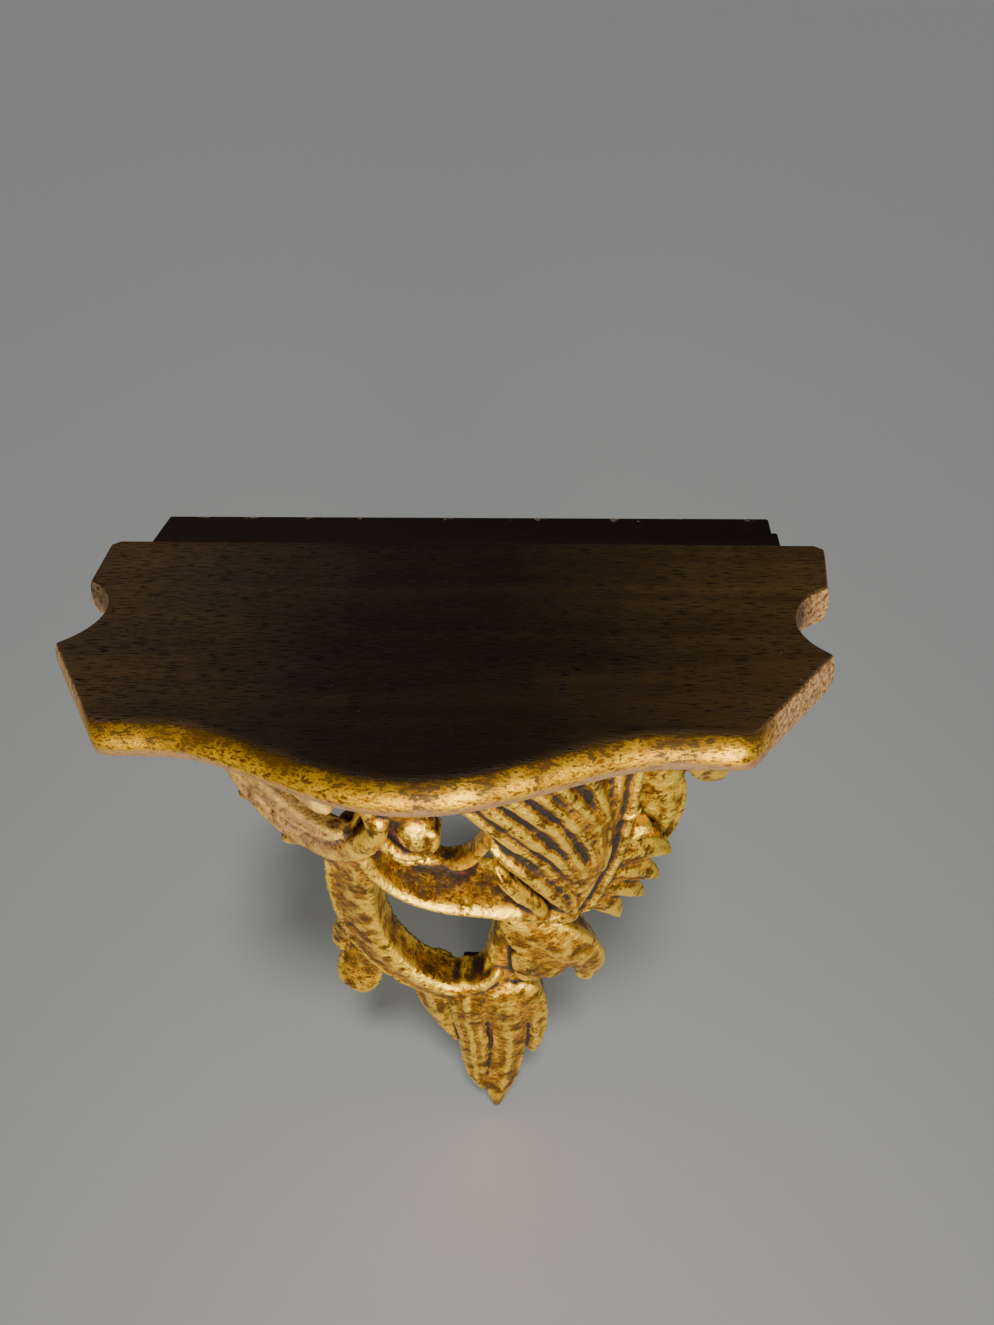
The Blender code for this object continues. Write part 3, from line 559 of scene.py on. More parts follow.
# %% The carving's courses
LONG_SCROLL = [
    (-20, 23, 0.2, 2.6, 4.6), (-21.0, 28, 1.0, 3.1, 4.6), (-23.2, 35, 1.4, 3.3, 4.4),
    (-25.4, 43, 1.4, 3.3, 4.2), (-25.8, 50, 1.4, 3.2, 4.2), (-22.3, 56.2, 1.3, 3.0, 4.4),
    (-15.5, 60.4, 1.0, 2.6, 4.6), (-7.5, 62.4, 0.6, 2.3, 4.8), (0.5, 61.8, 0.3, 2.0, 5.0),
    (6.0, 59.4, 0.0, 1.5, 5.0), (8.4, 56.4, -0.6, 0.9, 4.6),
]
CUP_LEDGE = [
    (-18, 22, 0.8, 1.0, 4.0), (-17, 28, 0.8, 0.9, 4.8), (-14, 32.6, 0.8, 0.8, 5.4),
    (-10, 34.8, 0.8, 0.8, 5.6), (-4, 36.2, 0.8, 0.9, 5.6), (4, 37.0, 0.8, 1.1, 5.6),
    (12, 38.4, 0.8, 1.4, 5.6), (20, 40.2, 0.8, 1.6, 5.4), (27, 42.0, 0.4, 1.6, 5.0),
]
CUP_RIM = [
    (9.4, 16.0, -0.2, 1.0, 2.0), (8.4, 21.4, -1.4, 0.8, 2.0), (6.0, 26.8, -2.9, 0.8, 2.2),
    (2.0, 31.4, -4.0, 0.9, 2.4), (-4.0, 33.0, -4.4, 1.0, 2.4), (-11.0, 31.0, -4.2, 1.1, 2.2),
]
VOLUTE_NECK = [
    (-12.0, 4, 0.0, 3.4, 4.0), (-10.0, 9, -0.2, 3.6, 4.5), (-8.2, 14, -0.5, 3.3, 4.5),
    (-6.8, 19, -0.9, 2.8, 4.2), (-6.2, 23, -1.0, 1.8, 3.8),
]
VOLUTE_RIM = [
    (-13.6, 10.0, 0.2, 1.0, 4.5), (-12.8, 15.0, 0.4, 1.1, 4.5), (-12.4, 19.0, 0.6, 1.1, 4.5),
    (-11.0, 22.0, 0.7, 1.1, 4.2), (-8.2, 23.6, 0.7, 1.0, 4.0), (-4.9, 23.2, 0.6, 0.9, 3.6),
    (-2.4, 21.4, 0.4, 0.7, 3.2), (-1.6, 19.4, 0.2, 0.45, 2.6),
]
VOLUTE_RING = [
    (-11.4, 24.6, -0.2, 0.8, 3.4), (-8.2, 25.8, 0.1, 0.9, 3.4), (-4.4, 25.2, -0.1, 0.6, 2.8),
]
VOLUTE_DOME = (-5.4, 18.6, -0.9)
DOME_RADIUS = 2.35
DOME_STRETCH = 1.5
VOLUTE_EYE = (-1.9, 18.8, 0.3)
EYE_RADIUS = 0.55
CALYX_STRAND = [
    (-38, 23.0, 0.4, 1.2, 3.6), (-31, 25.6, 0.8, 1.6, 3.4), (-24, 26.2, 1.1, 1.8, 3.2),
    (-18, 24.2, 1.2, 1.8, 3.0), (-13, 20.4, 0.9, 1.5, 3.0), (-10.6, 16.0, 0.5, 0.9, 3.0),
]
WING_STRANDS = [
    [(-19.8, 22.0, 0.5, 0.5, 2.0), (-24, 22.6, 0.6, 1.4, 2.2), (-30, 21.8, 0.6, 1.9, 2.4),
     (-37, 19.2, 0.5, 2.2, 2.8), (-45, 15.0, 0.3, 2.4, 3.4), (-54, 9.8, 0.1, 2.6, 4.0),
     (-62, 5.0, 0.0, 2.4, 4.0)],
    [(-27, 26.0, 0.4, 1.2, 3.0), (-33, 26.4, 0.4, 1.5, 3.0), (-39, 25.2, 0.4, 1.5, 3.0),
     (-46, 22.6, 0.3, 1.4, 3.0), (-53, 18.6, 0.2, 1.4, 3.0), (-60, 13.0, 0.0, 1.3, 3.0)],
    [(-37, 7.0, 0.0, 1.8, 3.4), (-30, 12.4, 0.2, 1.6, 3.0), (-24.5, 16.0, 0.3, 1.2, 2.4),
     (-20.8, 17.4, 0.4, 0.6, 2.0)],
    [(-31, 26.4, 0.4, 1.3, 2.6), (-36.5, 28.2, 0.5, 1.0, 2.4), (-40.0, 29.8, 0.6, 0.4, 1.6)],
    [(-42, 22.0, 0.2, 1.6, 2.6), (-48, 24.0, 0.4, 1.1, 2.4), (-52, 25.0, 0.6, 0.4, 1.6)],
    [(-54, 14.0, 0.0, 1.8, 2.6), (-60, 18.0, 0.4, 1.4, 2.4), (-62, 21.6, 0.8, 0.6, 1.6)],
]
FAN_RIBS = [
    [(-1, 7, 0.0, 1.5, 3.2), (5, 13, 0.4, 1.35, 3.2), (10, 18.2, 0.6, 1.3, 3.2),
     (15, 23.4, 0.7, 1.2, 3.2), (19.5, 28.6, 0.7, 1.1, 3.2), (24, 34.6, 0.7, 1.0, 3.2),
     (26, 40.6, 0.5, 0.8, 3.0)],
    [(3, 6, 0.2, 1.6, 3.2), (10, 14, 0.8, 1.5, 3.2), (15.6, 20.0, 1.0, 1.35, 3.2),
     (21.4, 26.4, 1.0, 1.15, 3.2), (26, 34.4, 0.9, 0.9, 3.2)],
    [(6, 5, 0.2, 1.6, 3.2), (13, 11.8, 0.9, 1.55, 3.2), (19, 18.0, 1.1, 1.4, 3.2),
     (24.4, 26.6, 1.1, 1.1, 3.2), (27, 34.0, 0.9, 0.8, 3.2)],
    [(11, 5, 0.2, 1.6, 3.2), (18, 11.6, 0.9, 1.5, 3.2), (23.6, 18.8, 1.1, 1.3, 3.2),
     (27, 25.8, 1.1, 1.05, 3.2), (28, 33.0, 0.8, 0.8, 3.2)],
    [(16, 5, 0.2, 1.6, 3.2), (21.6, 11.6, 0.9, 1.5, 3.2), (27.4, 20.0, 1.0, 1.2, 3.2),
     (29, 29.6, 0.9, 0.9, 3.2)],
    [(23, 5, 0.2, 1.7, 3.2), (27.6, 13.4, 0.7, 1.5, 3.2), (30, 22.4, 0.8, 1.2, 3.2),
     (30, 30.6, 0.7, 0.9, 3.2)],
]
LOWER_RIBS = [
    [(8, 21.4, 0.2, 0.7, 3.0), (11.6, 24.6, 1.1, 1.3, 4.0), (15.6, 28.8, 1.3, 1.4, 4.0),
     (20, 34.0, 1.2, 1.3, 4.0), (24, 39.0, 0.8, 0.9, 3.5)],
    [(8.6, 26.6, 0.2, 0.5, 3.0), (10.6, 30.2, 1.0, 1.1, 4.0), (14.0, 34.4, 1.0, 1.2, 4.0),
     (18.6, 38.8, 0.8, 0.9, 3.5)],
]
FAN_SPINE = [
    (34, 6, 0.0, 2.2, 3.6), (33.5, 15, 0.4, 2.1, 3.8), (32.5, 24, 0.5, 2.0, 4.0),
    (31.5, 30, 0.5, 1.9, 4.0), (29.5, 36, 0.4, 1.8, 4.0), (27, 41.4, 0.2, 1.7, 4.0),
]
FAN_LOBES = [
    [(33, 20.6, 0.0, 1.9, 3.0), (34.8, 20.2, 0.5, 1.5, 2.6), (37.0, 18.8, 1.0, 0.4, 1.4)],
    [(32, 25.4, 0.0, 2.1, 3.0), (36, 25.2, 0.5, 1.9, 2.6), (40.4, 24.0, 1.0, 0.4, 1.4)],
    [(31, 29.2, 0.0, 2.1, 3.2), (38, 29.8, 0.3, 2.4, 3.0), (44, 31.2, 0.6, 1.9, 2.4),
     (50.0, 34.0, 0.8, 0.4, 1.4)],
    [(31, 32.6, 0.0, 2.1, 3.2), (38, 34.2, 0.2, 2.2, 3.0), (44, 36.6, 0.4, 1.7, 2.4),
     (49.4, 39.6, 0.6, 0.4, 1.4)],
    [(30, 35.2, 0.0, 1.9, 3.2), (36, 37.4, 0.2, 1.9, 3.0), (42, 40.2, 0.3, 1.4, 2.4),
     (47.0, 43.2, 0.4, 0.4, 1.4)],
    [(28, 37.8, 0.0, 1.9, 3.4), (33, 40.2, 0.2, 1.9, 3.0), (37.4, 43.2, 0.3, 1.4, 2.4),
     (40.6, 46.4, 0.4, 0.4, 1.4)],
]
SIDE_LEAF = [
    (46, 5, -2.4, 2.0, 3.2), (47, 13, -3.2, 2.2, 2.8), (49, 20, -3.4, 2.8, 2.6), (51, 26, -3.0, 3.4, 2.4),
    (52, 31.5, -2.4, 2.6, 2.2), (52.4, 36.6, -1.8, 0.7, 1.8),
]
SIDE_LEAF_BARB = [
    (51, 24.0, -2.8, 2.0, 2.4), (55, 26.8, -2.4, 1.5, 2.2), (57.5, 29.0, -2.0, 0.7, 1.6),
]
SIDE_LEAF_TOP = [
    (52, 8, -1.2, 2.6, 3.4), (55, 15, -0.6, 3.2, 3.0), (60, 21, -0.2, 3.0, 2.6),
    (66, 25.4, 0.2, 2.4, 2.2), (69, 27, 0.3, 1.2, 2.0),
]
CHEEK_LEAF = [
    (80, 4, 0.0, 3.0, 4.0), (79, 12, 0.3, 3.6, 4.0), (76, 20, 0.3, 2.8, 3.6), (72, 26, 0.0, 0.8, 2.0),
]
CURL_LEAF = [
    (10.5, 41.0, -0.8, 2.0, 5.0), (15.5, 44.6, -0.2, 3.8, 5.0), (20.5, 48.2, 0.6, 4.6, 4.6),
    (26.0, 51.2, 0.9, 4.3, 4.4), (31.4, 54.0, 0.9, 3.3, 4.0), (35.8, 57.0, 0.7, 2.5, 3.6),
    (38.2, 60.2, 0.5, 2.1, 3.2), (38.4, 63.0, 0.2, 1.4, 2.8),
]
CURL_LOBES = [
    [(19, 50.0, 0.2, 2.8, 4.6), (22.2, 54.6, 0.6, 2.6, 4.4), (24.4, 58.4, 0.5, 1.8, 3.6)],
    [(16, 49.0, 0.4, 2.6, 4.6), (16.6, 54.8, 0.6, 2.4, 4.6), (18.2, 59.0, 0.4, 1.8, 4.0)],
]
CURL_STEM = [
    (20, 40.4, -1.6, 2.0, 4.0), (14, 46.0, -1.8, 2.6, 3.8), (11.6, 52.0, -1.8, 2.8, 3.8),
    (10, 58.0, -1.4, 3.0, 4.4), (8, 64.0, -0.4, 3.4, 5.6),
]
DROP_LEAF = [
    (4, 60.0, -0.2, 4.4, 4.6), (8, 66.0, 0.7, 3.8, 5.4), (11.4, 72.0, 0.7, 2.8, 6.2),
    (13.4, 79.0, 0.7, 2.5, 6.6), (14.6, 86.0, 0.6, 2.6, 6.2), (14.0, 91.6, 0.6, 2.6, 5.5),
    (12.8, 96.2, 0.7, 1.8, 4.4), (14.4, 100.0, 0.9, 0.4, 3.0),
]
DROP_BLADE = [
    (-2, 60.0, 0.0, 3.4, 4.6), (-3.2, 66.0, 1.0, 3.0, 5.0), (-3.8, 72.0, 1.0, 2.6, 5.4),
    (-4.6, 79.0, 0.9, 2.4, 5.4), (-6.4, 85.0, 0.8, 2.2, 5.0), (-8.0, 90.0, 0.8, 1.8, 4.2),
    (-5.0, 94.0, 0.8, 0.9, 3.0),
]
DROP_BACK_LOBES = [
    [(-14, 61.0, -0.8, 2.6, 4.6), (-19, 67.0, -1.0, 2.6, 4.8), (-21, 74.6, -1.2, 2.0, 5.0),
     (-19, 82.4, -1.4, 1.0, 4.6)],
    [(13, 61.0, -0.2, 2.6, 4.6), (19, 67.0, 0.2, 2.6, 4.6), (24.2, 74.4, 0.2, 2.1, 4.6),
     (28.4, 80.4, 0.4, 1.4, 4.2), (30.6, 84.0, 0.6, 0.6, 3.4)],
]
LEFT_LOBES = [
    [(-28, 47.4, -0.6, 2.4, 4.0), (-38, 52.0, -1.0, 2.3, 3.8), (-46, 56.8, -0.4, 2.1, 3.4),
     (-49, 60.4, 0.8, 1.5, 3.2)],
    [(-29, 55.0, -1.2, 2.2, 4.0), (-37, 59.0, -1.1, 3.0, 3.6), (-44.6, 63.0, 0.2, 3.5, 3.2),
     (-48.6, 67.0, 1.7, 3.5, 3.0), (-49.6, 70.8, 2.8, 2.7, 2.8)],
]
TOP_PLATE_THICKNESS = 0.013
APRON_THICKNESS = 0.013
APRON_BEARING = 84
APRON_DEPTH = 8.5
STEM_STATIONS = [
    (74.0, 5.2),
    (80.0, 5.0),
    (91.0, 3.0),
]
STEM_OFFSET = 0.9
STEM_BITE = 0.6
STEM_CHAMFER = 0.5
CUT_OVERLAP = 0.004

# %% [markdown]
# A course becomes a solid by sweeping a section along it. Five sections do all the work: a crest is
# a rounded ridge, a rib is flat-topped between two low shelves, a roll has its ridge to one side, a
# channel has two raised rims, and a leaf has a midrib and swelling halves. Each point also keeps where
# it lies across the form, whether it is on its front, and how many veins the carver cut there, so
# that finer relief can follow the form later.

# %% Sweeping a form
STROKE_STEPS = 10
STROKE_SIDES = 24
NARROWEST = 0.1
BACK_TAPER = 0.85
BLUNTEST = 0.06
CREST_HEIGHT = 0.9
CHANNEL_HEIGHT = 0.8
CHANNEL_POWER = 1.5
RIB_SHARE = 0.80
RIB_POWER = 4
ROLL_HEIGHT = 1.1
ROLL_CREST = -0.35
ROLL_EDGE = 0.35
ROLL_POWER = 1.5
LEAF_HEIGHT = 0.6
LEAF_WAVES = 1.5
LEDGE_RISE = 2.0
PLAN_STEPS = 60


def crest(u):
    """A rounded ridge."""
    return CREST_HEIGHT * (1 - u * u)


def channel(u):
    """Two raised rims with a hollow between."""
    return CHANNEL_HEIGHT * math.sin(math.pi * abs(u) ** CHANNEL_POWER)


def veined(u):
    """A leaf with a midrib and swelling halves."""
    return LEAF_HEIGHT * math.cos(LEAF_WAVES * math.pi * u) ** 2


def rib(u):
    """A flat-topped ridge between two low shelves."""
    share = min(abs(u) / RIB_SHARE, 1.0)
    return CREST_HEIGHT * (1 - share ** RIB_POWER)


def rolled(u):
    """A roll with its ridge to one side, steep towards the opening and falling away outwards."""
    if u < ROLL_CREST:
        share = (ROLL_CREST - u) / (ROLL_CREST + 1)
        return ROLL_EDGE + (ROLL_HEIGHT - ROLL_EDGE) * (1 - share * share)
    share = (u - ROLL_CREST) / (1 - ROLL_CREST)
    return ROLL_HEIGHT * (1 - share) ** ROLL_POWER


def mirrored(points):
    """The same form on the other side of the bracket."""
    return [(-bearing, *rest) for bearing, *rest in points]


def spline(points, steps):
    """Smooth curve through points of any size, with steps between each two."""
    padded = [points[0], *points, points[-1]]
    curve = []
    for a, b, c, d in zip(padded, padded[1:], padded[2:], padded[3:]):
        for i in range(steps):
            t = i / steps
            curve.append(tuple(
                0.5 * (2 * q + (r - p) * t + (2 * p - 5 * q + 4 * r - s) * t * t
                       + (3 * q - p - 3 * r + s) * t ** 3)
                for p, q, r, s in zip(a, b, c, d)))
    curve.append(tuple(points[-1]))
    return curve


def stroke(bm, points, section, facing=0.0, rise=0.0, veins=0.0):
    """One closed carved form along the bowed front, turned towards the room by facing."""
    course = spline(points, STROKE_STEPS)
    places = [on_bow(point[0], point[1], point[2] * HUNDREDTH) for point in course]
    total = sum((b - a).length for a, b in zip(places, places[1:]))
    room = Vector((0.0, -1.0, 0.0))
    lift = Vector((0.0, 0.0, rise * HUNDREDTH))
    across_layer = bm.verts.layers.float["across"]
    face_layer = bm.verts.layers.float["face"]
    vein_layer = bm.verts.layers.float["veins"]
    done = 0.0
    rings = []
    for i, (bearing, percent, _, half, depth) in enumerate(course):
        before = places[max(i - 1, 0)]
        after = places[min(i + 1, len(places) - 1)]
        along = (after - before).normalized()
        normal = bow_normal(bearing, percent).lerp(room, facing)
        side = along.cross(normal).normalized()
        out = side.cross(along).normalized()
        done += (places[i] - places[i - 1]).length if i else 0.0
        width = max(half, NARROWEST) * HUNDREDTH
        near_end = min(done, total - done, width) / width
        blunt = math.sqrt(max(1 - (1 - near_end) ** 2, BLUNTEST))
        ring = []
        for k in range(STROKE_SIDES + 1):
            u = -1 + 2 * k / STROKE_SIDES
            height = section(u) * HUNDREDTH * min(half, 1.0) * blunt
            vertex = bm.verts.new(places[i] + side * u * width * blunt + out * height)
            vertex[across_layer] = u
            vertex[face_layer] = near_end
            ring.append(vertex)
        for u in (BACK_TAPER, 0.0, -BACK_TAPER):
            inside = places[i] + side * u * width * blunt - out * depth * HUNDREDTH
            vertex = bm.verts.new(inside + lift)
            vertex[across_layer] = u
            ring.append(vertex)
        for vertex in ring:
            vertex[vein_layer] = veins
        rings.append(ring)
    join_rings(bm, rings)


# %% [markdown]
# The rest of the block is plainer: a plate under the board, a band that hangs from it behind the
# forms, the round boss of the volute, and the stem behind the leaf, which runs back to the wall.

# %% The plain parts of the block
BOSS_SEGMENTS = 48
BOSS_RINGS = 32


def top_plate(bm):
    """Flat plate under the board, following the bow in plan."""
    plan = [on_bow(-90 + 180 * i / PLAN_STEPS, 0) for i in range(PLAN_STEPS + 1)]
    rings = []
    for level in (BODY_TOP + CUT_OVERLAP, BODY_TOP - TOP_PLATE_THICKNESS):
        rings.append([bm.verts.new((p.x, p.y, level)) for p in plan])
    join_rings(bm, rings)


def apron(bm):
    """Band of the bowed front that hangs from the plate and carries the forms."""
    rings = []
    for i in range(PLAN_STEPS + 1):
        bearing = APRON_BEARING * (2 * i / PLAN_STEPS - 1)
        ring = []
        for percent, inward in ((0.0, 0.0), (APRON_DEPTH, 0.0), (APRON_DEPTH, 1.0), (0.0, 1.0)):
            ring.append(bm.verts.new(on_bow(bearing, percent, -inward * APRON_THICKNESS)))
        rings.append(ring)
    join_rings(bm, rings)


def wall_stem(bm):
    """Solid behind the drop leaf that runs back to the wall."""
    rings = []
    middle = STEM_OFFSET * HUNDREDTH
    for percent, half in STEM_STATIONS:
        deep = bow_radii(percent)[1]
        level = BODY_TOP - percent * HUNDREDTH
        width = half * HUNDREDTH
        nose = width * STEM_CHAMFER
        front = -deep * STEM_BITE
        plan = ((-width, CUT_OVERLAP), (-width, front + nose), (-nose, front),
                (nose, front), (width, front + nose), (width, CUT_OVERLAP))
        rings.append([bm.verts.new((x + middle, y, level)) for x, y in plan])
    join_rings(bm, rings)


def ball(bm, place, radius, stretch=1.0):
    """A boss on the bow, as tall as stretch times its width."""
    bearing, percent, proud = place
    face_layer = bm.verts.layers.float["face"]
    made = bmesh.ops.create_uvsphere(bm, u_segments=BOSS_SEGMENTS, v_segments=BOSS_RINGS,
                                     radius=radius * HUNDREDTH)
    bmesh.ops.scale(bm, verts=made["verts"], vec=(1.0, 1.0, stretch))
    bmesh.ops.translate(bm, verts=made["verts"], vec=on_bow(bearing, percent, proud * HUNDREDTH))
    for vertex in made["verts"]:
        vertex[face_layer] = 1.0


# %% All forms of the carving
bm = bmesh.new()
for layer_name in ("across", "face", "veins"):
    bm.verts.layers.float.new(layer_name)
top_plate(bm)
apron(bm)
wall_stem(bm)
stroke(bm, LONG_SCROLL, rolled, facing=0.5, veins=1)
stroke(bm, CUP_LEDGE, crest, rise=LEDGE_RISE)
ball(bm, VOLUTE_DOME, DOME_RADIUS, DOME_STRETCH)
ball(bm, VOLUTE_EYE, EYE_RADIUS)
for plain in [VOLUTE_NECK, VOLUTE_RIM, VOLUTE_RING, CUP_RIM, CALYX_STRAND, CURL_STEM]:
    stroke(bm, plain, crest)
for ridge in FAN_RIBS + LOWER_RIBS:
    stroke(bm, ridge, rib, veins=1)
for ridge in WING_STRANDS + FAN_LOBES:
    stroke(bm, ridge, crest, veins=1)
stroke(bm, FAN_SPINE, channel)
stroke(bm, SIDE_LEAF, crest, facing=0.8, veins=1)
stroke(bm, SIDE_LEAF_BARB, crest, facing=0.8)
stroke(bm, SIDE_LEAF_TOP, crest, facing=0.7, veins=1)
stroke(bm, CHEEK_LEAF, veined, veins=3)
stroke(bm, mirrored(CHEEK_LEAF), veined, veins=3)
stroke(bm, CURL_LEAF, crest, facing=0.2, veins=1)
for lobe in CURL_LOBES:
    stroke(bm, lobe, crest, facing=0.2)
stroke(bm, DROP_LEAF, crest, veins=1)
stroke(bm, DROP_BLADE, crest, facing=0.3, veins=1.5)
for lobe in DROP_BACK_LOBES:
    stroke(bm, lobe, crest, facing=0.4, veins=1)
for lobe in LEFT_LOBES:
    stroke(bm, lobe, crest, facing=0.9)
forms_mesh = closed_mesh("carved_forms", bm)
forms = new_object("carved_forms", forms_mesh)
print("forms:", len(forms_mesh.polygons), "faces")

# %% [markdown]
# The forms overlap each other as loose solids. A voxel remesh fuses them into one skin with small
# soft fillets where they meet, as a gouge leaves them. Three boxes then trim the skin flat against
# the board, the rail and the wall.

# %% One carved block
VOXEL = 0.00125
KEPT_SHARE = 0.53
JOINT_GAP = 0.0003


def box_mesh(name, low, high):
    """A closed block between two corners."""
    plan = ((low[0], low[1]), (high[0], low[1]), (high[0], high[1]), (low[0], high[1]))
    return prism(name, plan, low[2], high[2])


block = new_object("carved_block", forms_mesh.copy())
fuse = block.modifiers.new("fused forms", "REMESH")
fuse.mode = "VOXEL"
fuse.voxel_size = VOXEL
thin = block.modifiers.new("fewer faces", "DECIMATE")
thin.ratio = KEPT_SHARE
reach = BOARD_REAR_WIDTH + BODY_DROP
beyond = (reach, reach, reach)
trims = [
    box_mesh("board_trim", (-reach, -reach, BODY_TOP), beyond),
    box_mesh("rail_trim", (-reach, -rail_depth - JOINT_GAP, rail_low.z - JOINT_GAP), beyond),
    box_mesh("wall_trim", (-reach, 0.0, -reach), beyond),
]
cutters = []
for mesh in trims:
    cutter = new_object(mesh.name, mesh)
    trim = block.modifiers.new(mesh.name, "BOOLEAN")
    trim.operation = "DIFFERENCE"
    trim.solver = "MANIFOLD"
    trim.object = cutter
    cutters.append(cutter)
block_mesh = finished_mesh(block, "carved_block")
block.data = block_mesh
for cutter in cutters:
    bpy.data.objects.remove(cutter)
print("block:", sum(len(face.vertices) - 2 for face in block_mesh.polygons), "triangles")

# %% [markdown]
# Relief that follows the forms is a job for Geometry Nodes. Every point of the fused skin asks the
# nearest loose form how far across it lies and how many veins it has, and is pushed in along a vein
# or in and out by the small unevenness that hand tools leave. A coarse noise makes the veins deeper
# in some places and lets them run out in others. Nothing moves near the trimmed faces, and nothing
# leaves the box of the CAD body.

# %% Veins and tool marks
relief_tree = bpy.data.node_groups.new("carved_relief", "GeometryNodeTree")
relief_tree.is_modifier = True
tree = relief_tree
face = relief_tree.interface
face.new_socket("Geometry", in_out="INPUT", socket_type="NodeSocketGeometry")
RELIEF_INPUTS = {
    "Forms": ("NodeSocketObject", forms),
    "Vein depth": ("NodeSocketFloat", 0.0007),
    "Tool mark depth": ("NodeSocketFloat", 0.0010),
    "Tool marks per metre": ("NodeSocketFloat", 140.0),
    "Spread of hollow": ("NodeSocketInt", 12),
    "Reach of rays": ("NodeSocketFloat", 0.06),
    "Finish": ("NodeSocketMaterial", None),
}
sockets = {name: face.new_socket(name, in_out="INPUT", socket_type=kind)
           for name, (kind, _) in RELIEF_INPUTS.items()}
face.new_socket("Geometry", in_out="OUTPUT", socket_type="NodeSocketGeometry")
given = add(tree, "NodeGroupInput").outputs
forms_geometry = add(tree, "GeometryNodeObjectInfo", given["Forms"]).outputs["Geometry"]
point = add(tree, "GeometryNodeInputPosition")
normal = add(tree, "GeometryNodeInputNormal")
sampled = {}
for name in ("across", "face", "veins"):
    read = add(tree, "GeometryNodeInputNamedAttribute", name)
    sampled[name] = add(tree, "GeometryNodeSampleNearestSurface", forms_geometry, read)
phase = add(tree, MATH, sampled["across"], sampled["veins"], operation="MULTIPLY")
turned = add(tree, MATH, phase, 2 * math.pi, operation="MULTIPLY")
wave = add(tree, MATH, turned, operation="COSINE")
vein = add(tree, RANGE, wave, -1.0, 1.0, -1.0, 0.0)
on_face = add(tree, MATH, vein, sampled["face"], operation="MULTIPLY")
any_vein = add(tree, MATH, sampled["veins"], 0.5, operation="GREATER_THAN")
uneven = add(tree, NOISE, None, 55.0, 2.0)
strength = add(tree, RANGE, uneven, 0.38, 0.62, 0.0, 1.2)
patchy = add(tree, MATH, any_vein, strength, operation="MULTIPLY")
vein_here = add(tree, MATH, on_face, patchy, operation="MULTIPLY")
vein_move = add(tree, MATH, vein_here, given["Vein depth"], operation="MULTIPLY")
marks = add(tree, NOISE, None, given["Tool marks per metre"], 3.0, 0.6)
centred = add(tree, MATH, marks, 0.5, operation="SUBTRACT")
move = add(tree, MATH, centred, given["Tool mark depth"], vein_move, operation="MULTIPLY_ADD")
print("veins and tool marks:", len(tree.nodes), "nodes")

# %% Calm near the trimmed faces
CALM = 0.004
parts = add(tree, "ShaderNodeSeparateXYZ", point)
trimmed = (("Z", BODY_TOP), ("Y", 0.0), ("Z", rail_low.z - JOINT_GAP), ("Y", -rail_depth - JOINT_GAP))
below_board, off_wall, below_rail, before_rail = (
    add(tree, RANGE, parts.outputs[axis], edge - CALM / 4, edge - CALM) for axis, edge in trimmed)
off_rail = add(tree, MATH, below_rail, before_rail, operation="MAXIMUM")
free = add(tree, MATH, below_board, off_wall, operation="MULTIPLY")
allowed = add(tree, MATH, free, off_rail, operation="MULTIPLY")
final_move = add(tree, MATH, move, allowed, operation="MULTIPLY")
offset = add(tree, VECTOR_MATH, normal, final_move, operation="SCALE")
moved = add(tree, VECTOR_MATH, point, offset, operation="ADD")
not_low = add(tree, VECTOR_MATH, moved, body_low, operation="MAXIMUM")
kept_in = add(tree, VECTOR_MATH, not_low, body_high, operation="MINIMUM")
cut = add(tree, "GeometryNodeSetPosition", given["Geometry"], None, kept_in)
print("with the calm edges:", len(tree.nodes), "nodes")

# %% [markdown]
# The tree also stores three values for the finish. `hollow` says by how many millimetres a point
# lies below its close surroundings, `enclosed` is the share of short rays from the point that hit
# the carving again, and `inside` is 1 where the skin faces back or lies close to the wall.

# %% Hollows and enclosed places
MILLIMETRES = 1000.0
around = add(tree, "GeometryNodeBlurAttribute", point, given["Spread of hollow"],
             data_type="FLOAT_VECTOR")
rise_of_rest = add(tree, VECTOR_MATH, around, point, operation="SUBTRACT")
height = add(tree, VECTOR_MATH, rise_of_rest, normal, operation="DOT_PRODUCT")
depth = add(tree, MATH, height, MILLIMETRES, operation="MULTIPLY")
dipped = add(tree, STORE, cut, None, "hollow", depth)
RAYS = 14
RAY_START = 0.0004
GOLDEN_TURN = math.pi * (3 - math.sqrt(5))
start = add(tree, VECTOR_MATH, normal, (RAY_START,) * 3, point, operation="MULTIPLY_ADD")
total = None
for i in range(RAYS):
    rise = 1 - (2 * i + 1) / RAYS
    ring = math.sqrt(1 - rise * rise)
    lean = (ring * math.cos(GOLDEN_TURN * i), ring * math.sin(GOLDEN_TURN * i), rise)
    ray = add(tree, VECTOR_MATH, normal, lean, operation="ADD")
    cast = add(tree, "GeometryNodeRaycast", dipped, None, start, ray, given["Reach of rays"])
    total = add(tree, MATH, cast, total or 0.0, operation="ADD")
share = add(tree, MATH, total, RAYS, operation="DIVIDE")
even = add(tree, "GeometryNodeBlurAttribute", share, 2)
dipped = add(tree, STORE, dipped, None, "enclosed", even)
print("with the hollows:", len(tree.nodes), "nodes")

